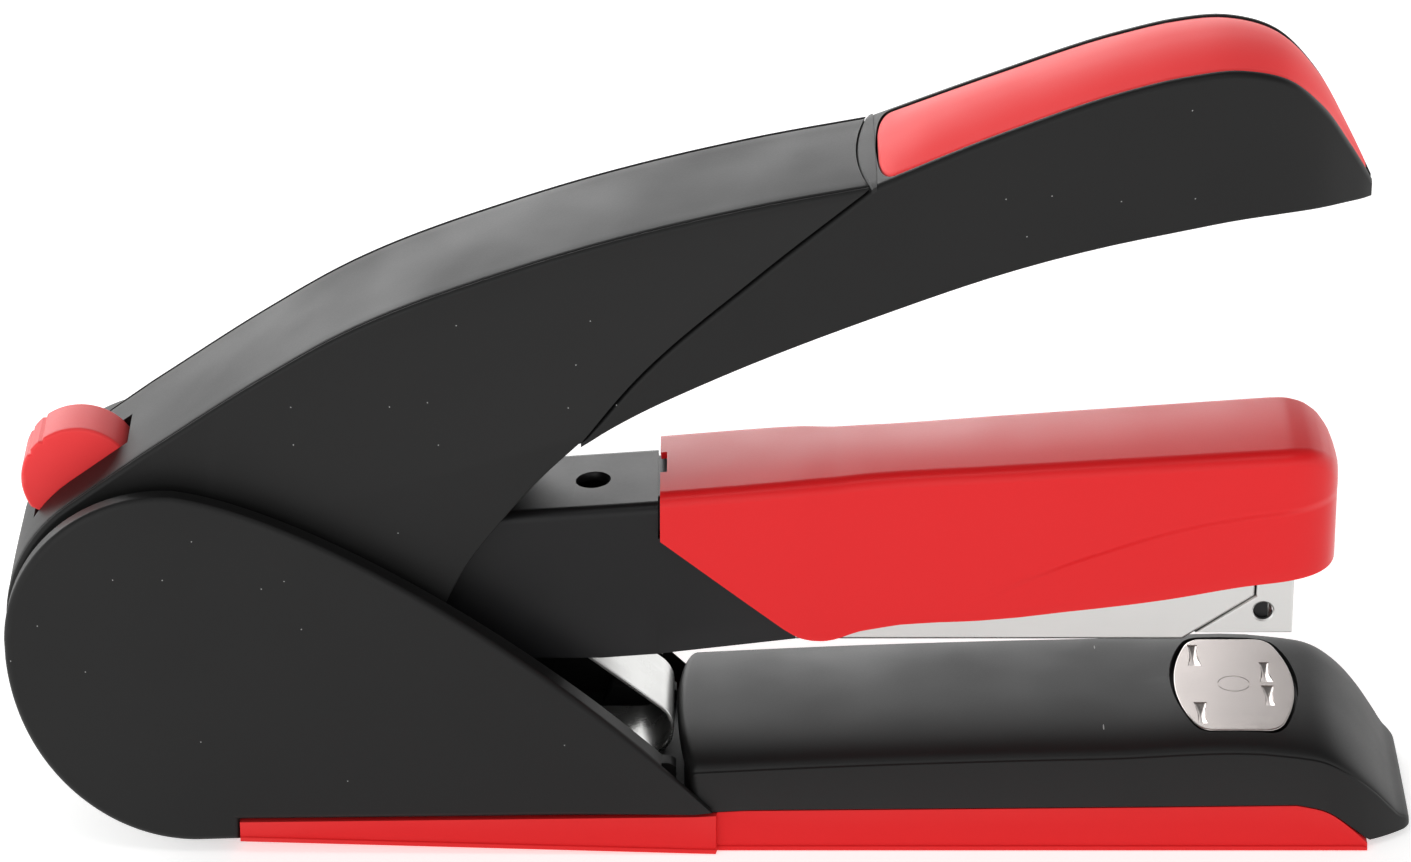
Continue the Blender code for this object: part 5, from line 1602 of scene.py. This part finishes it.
@dataclass
class CarriedNodes:
    """The CAD nodes that keep their own mesh and get a full finish."""

    finishes: Finishes
    slots: dict[Slot, tuple[str, ...]] = field(default_factory=lambda: {
        Slot.ZINC: (
            "rear_bracket", "arm_pin", "handle_pin_right", "handle_pin_left", "bracket_rivet_1", "bracket_rivet_2",
            "anvil_post", "drawer_rail", "guide_rod", "driver_blade", "blade_rivet_1", "blade_rivet_2",
            "handle_frame", "drive_roller", "roller_pin", "button_pin"),
        Slot.BLACK_STEEL: ("pusher",),
        Slot.SPRING: ("drawer_catch", "driver_spring"),
    })

    def dress(self) -> None:
        """Gives each kept node its material."""
        for slot, names in self.slots.items():
            for name in names:
                node = frame["nodes"][name]
                node.data.materials.clear()
                node.data.materials.append(self.finishes.material(slot))
                LOG.info("%s keeps its mesh", name)


@dataclass
class Studio:
    """A pale floor, soft light and the camera."""

    target: Point3 = (-1.0, 0.0, 55.7)
    elevation: float = 26.5
    distance: float = 860.0
    lens: float = 162.4
    floor_size: float = 6000.0
    sky: float = 0.25
    horizon: float = 1.9

    def build_floor(self) -> None:
        """A wide board under everything."""
        half = self.floor_size / 2
        grid = [[(x, y, -0.05) for y in spread(-half, half, 9)] for x in spread(-half, half, 9)]
        floor = sheet_skin("studio_floor", grid)
        floor.data.materials.append(FloorCoat().paint())

    def build_sky(self) -> None:
        """Even surroundings that are brightest near the horizon, as a lit white room is."""
        world = bpy.data.worlds.new("white_room")
        world.use_nodes = True
        bpy.context.scene.world = world
        tree = world.node_tree
        tree.nodes.clear()
        place = add(tree, "ShaderNodeTexCoord")
        parts = add(tree, "ShaderNodeSeparateXYZ", links={"Vector": place.outputs["Generated"]})
        strength = add(tree, "ShaderNodeMapRange",
                       {"From Min": 0.0, "From Max": 0.55, "To Min": self.horizon, "To Max": self.sky},
                       {"Value": parts.outputs["Z"]})
        light = add(tree, "ShaderNodeBackground", {"Color": linear("#ffffff")},
                    {"Strength": strength.outputs["Result"]})
        add(tree, "ShaderNodeOutputWorld", links={"Surface": light.outputs["Background"]})

    def add_light(self, name: str, place: Point3, width: float, height: float, power: float) -> None:
        """A soft rectangular light aimed at the stapler, sizes in millimetres and power in watts."""
        data = bpy.data.lights.new(name, "AREA")
        data.shape = "RECTANGLE"
        data.size = width * MM
        data.size_y = height * MM
        data.energy = power
        light = bpy.data.objects.new(name, data)
        light.location = Vector(place) * MM
        aim = Vector(self.target) * MM - light.location
        light.rotation_euler = aim.to_track_quat("-Z", "Y").to_euler()
        bpy.context.scene.collection.objects.link(light)

    def build_camera(self) -> None:
        """The camera, level, looking along Y from in front and above."""
        data = bpy.data.cameras.new("camera")
        data.lens = self.lens
        data.sensor_width = 36.0
        data.clip_start = 0.05
        data.clip_end = 20.0
        camera = bpy.data.objects.new("camera", data)
        angle = math.radians(self.elevation)
        back = Vector((0.0, -math.cos(angle), math.sin(angle)))
        camera.location = (Vector(self.target) + back * self.distance) * MM
        camera.rotation_euler = (-back).to_track_quat("-Z", "Y").to_euler()
        bpy.context.scene.collection.objects.link(camera)
        bpy.context.scene.camera = camera

    def build(self) -> None:
        """Builds the floor, the light and the camera."""
        self.build_floor()
        self.build_sky()
        self.add_light("front_softbox", (-350, -700, 420), 700, 500, 1.2)
        self.add_light("rear_softbox", (-450, 1100, 470), 1300, 560, 9.0)
        self.add_light("top_strip", (-60, -330, 760), 700, 180, 0.8)
        self.build_camera()
        bpy.context.scene.view_settings.view_transform = "Standard"


def main() -> None:
    """Builds every sub-assembly in order, then the studio."""
    logging.basicConfig(level=logging.INFO, format="%(name)s: %(message)s")
    finishes = Finishes()
    coils, screws = coil_tree(), screw_tree()
    Studio().build()
    BaseUnit(finishes).build(screws)
    AnvilUnit(finishes).build(coils)
    MagazineUnit(finishes).build(coils)
    DriverUnit(finishes).build()
    HandleUnit(finishes).build(screws, coils)
    CarriedNodes(finishes).dress()


if __name__ == "__main__":
    main()
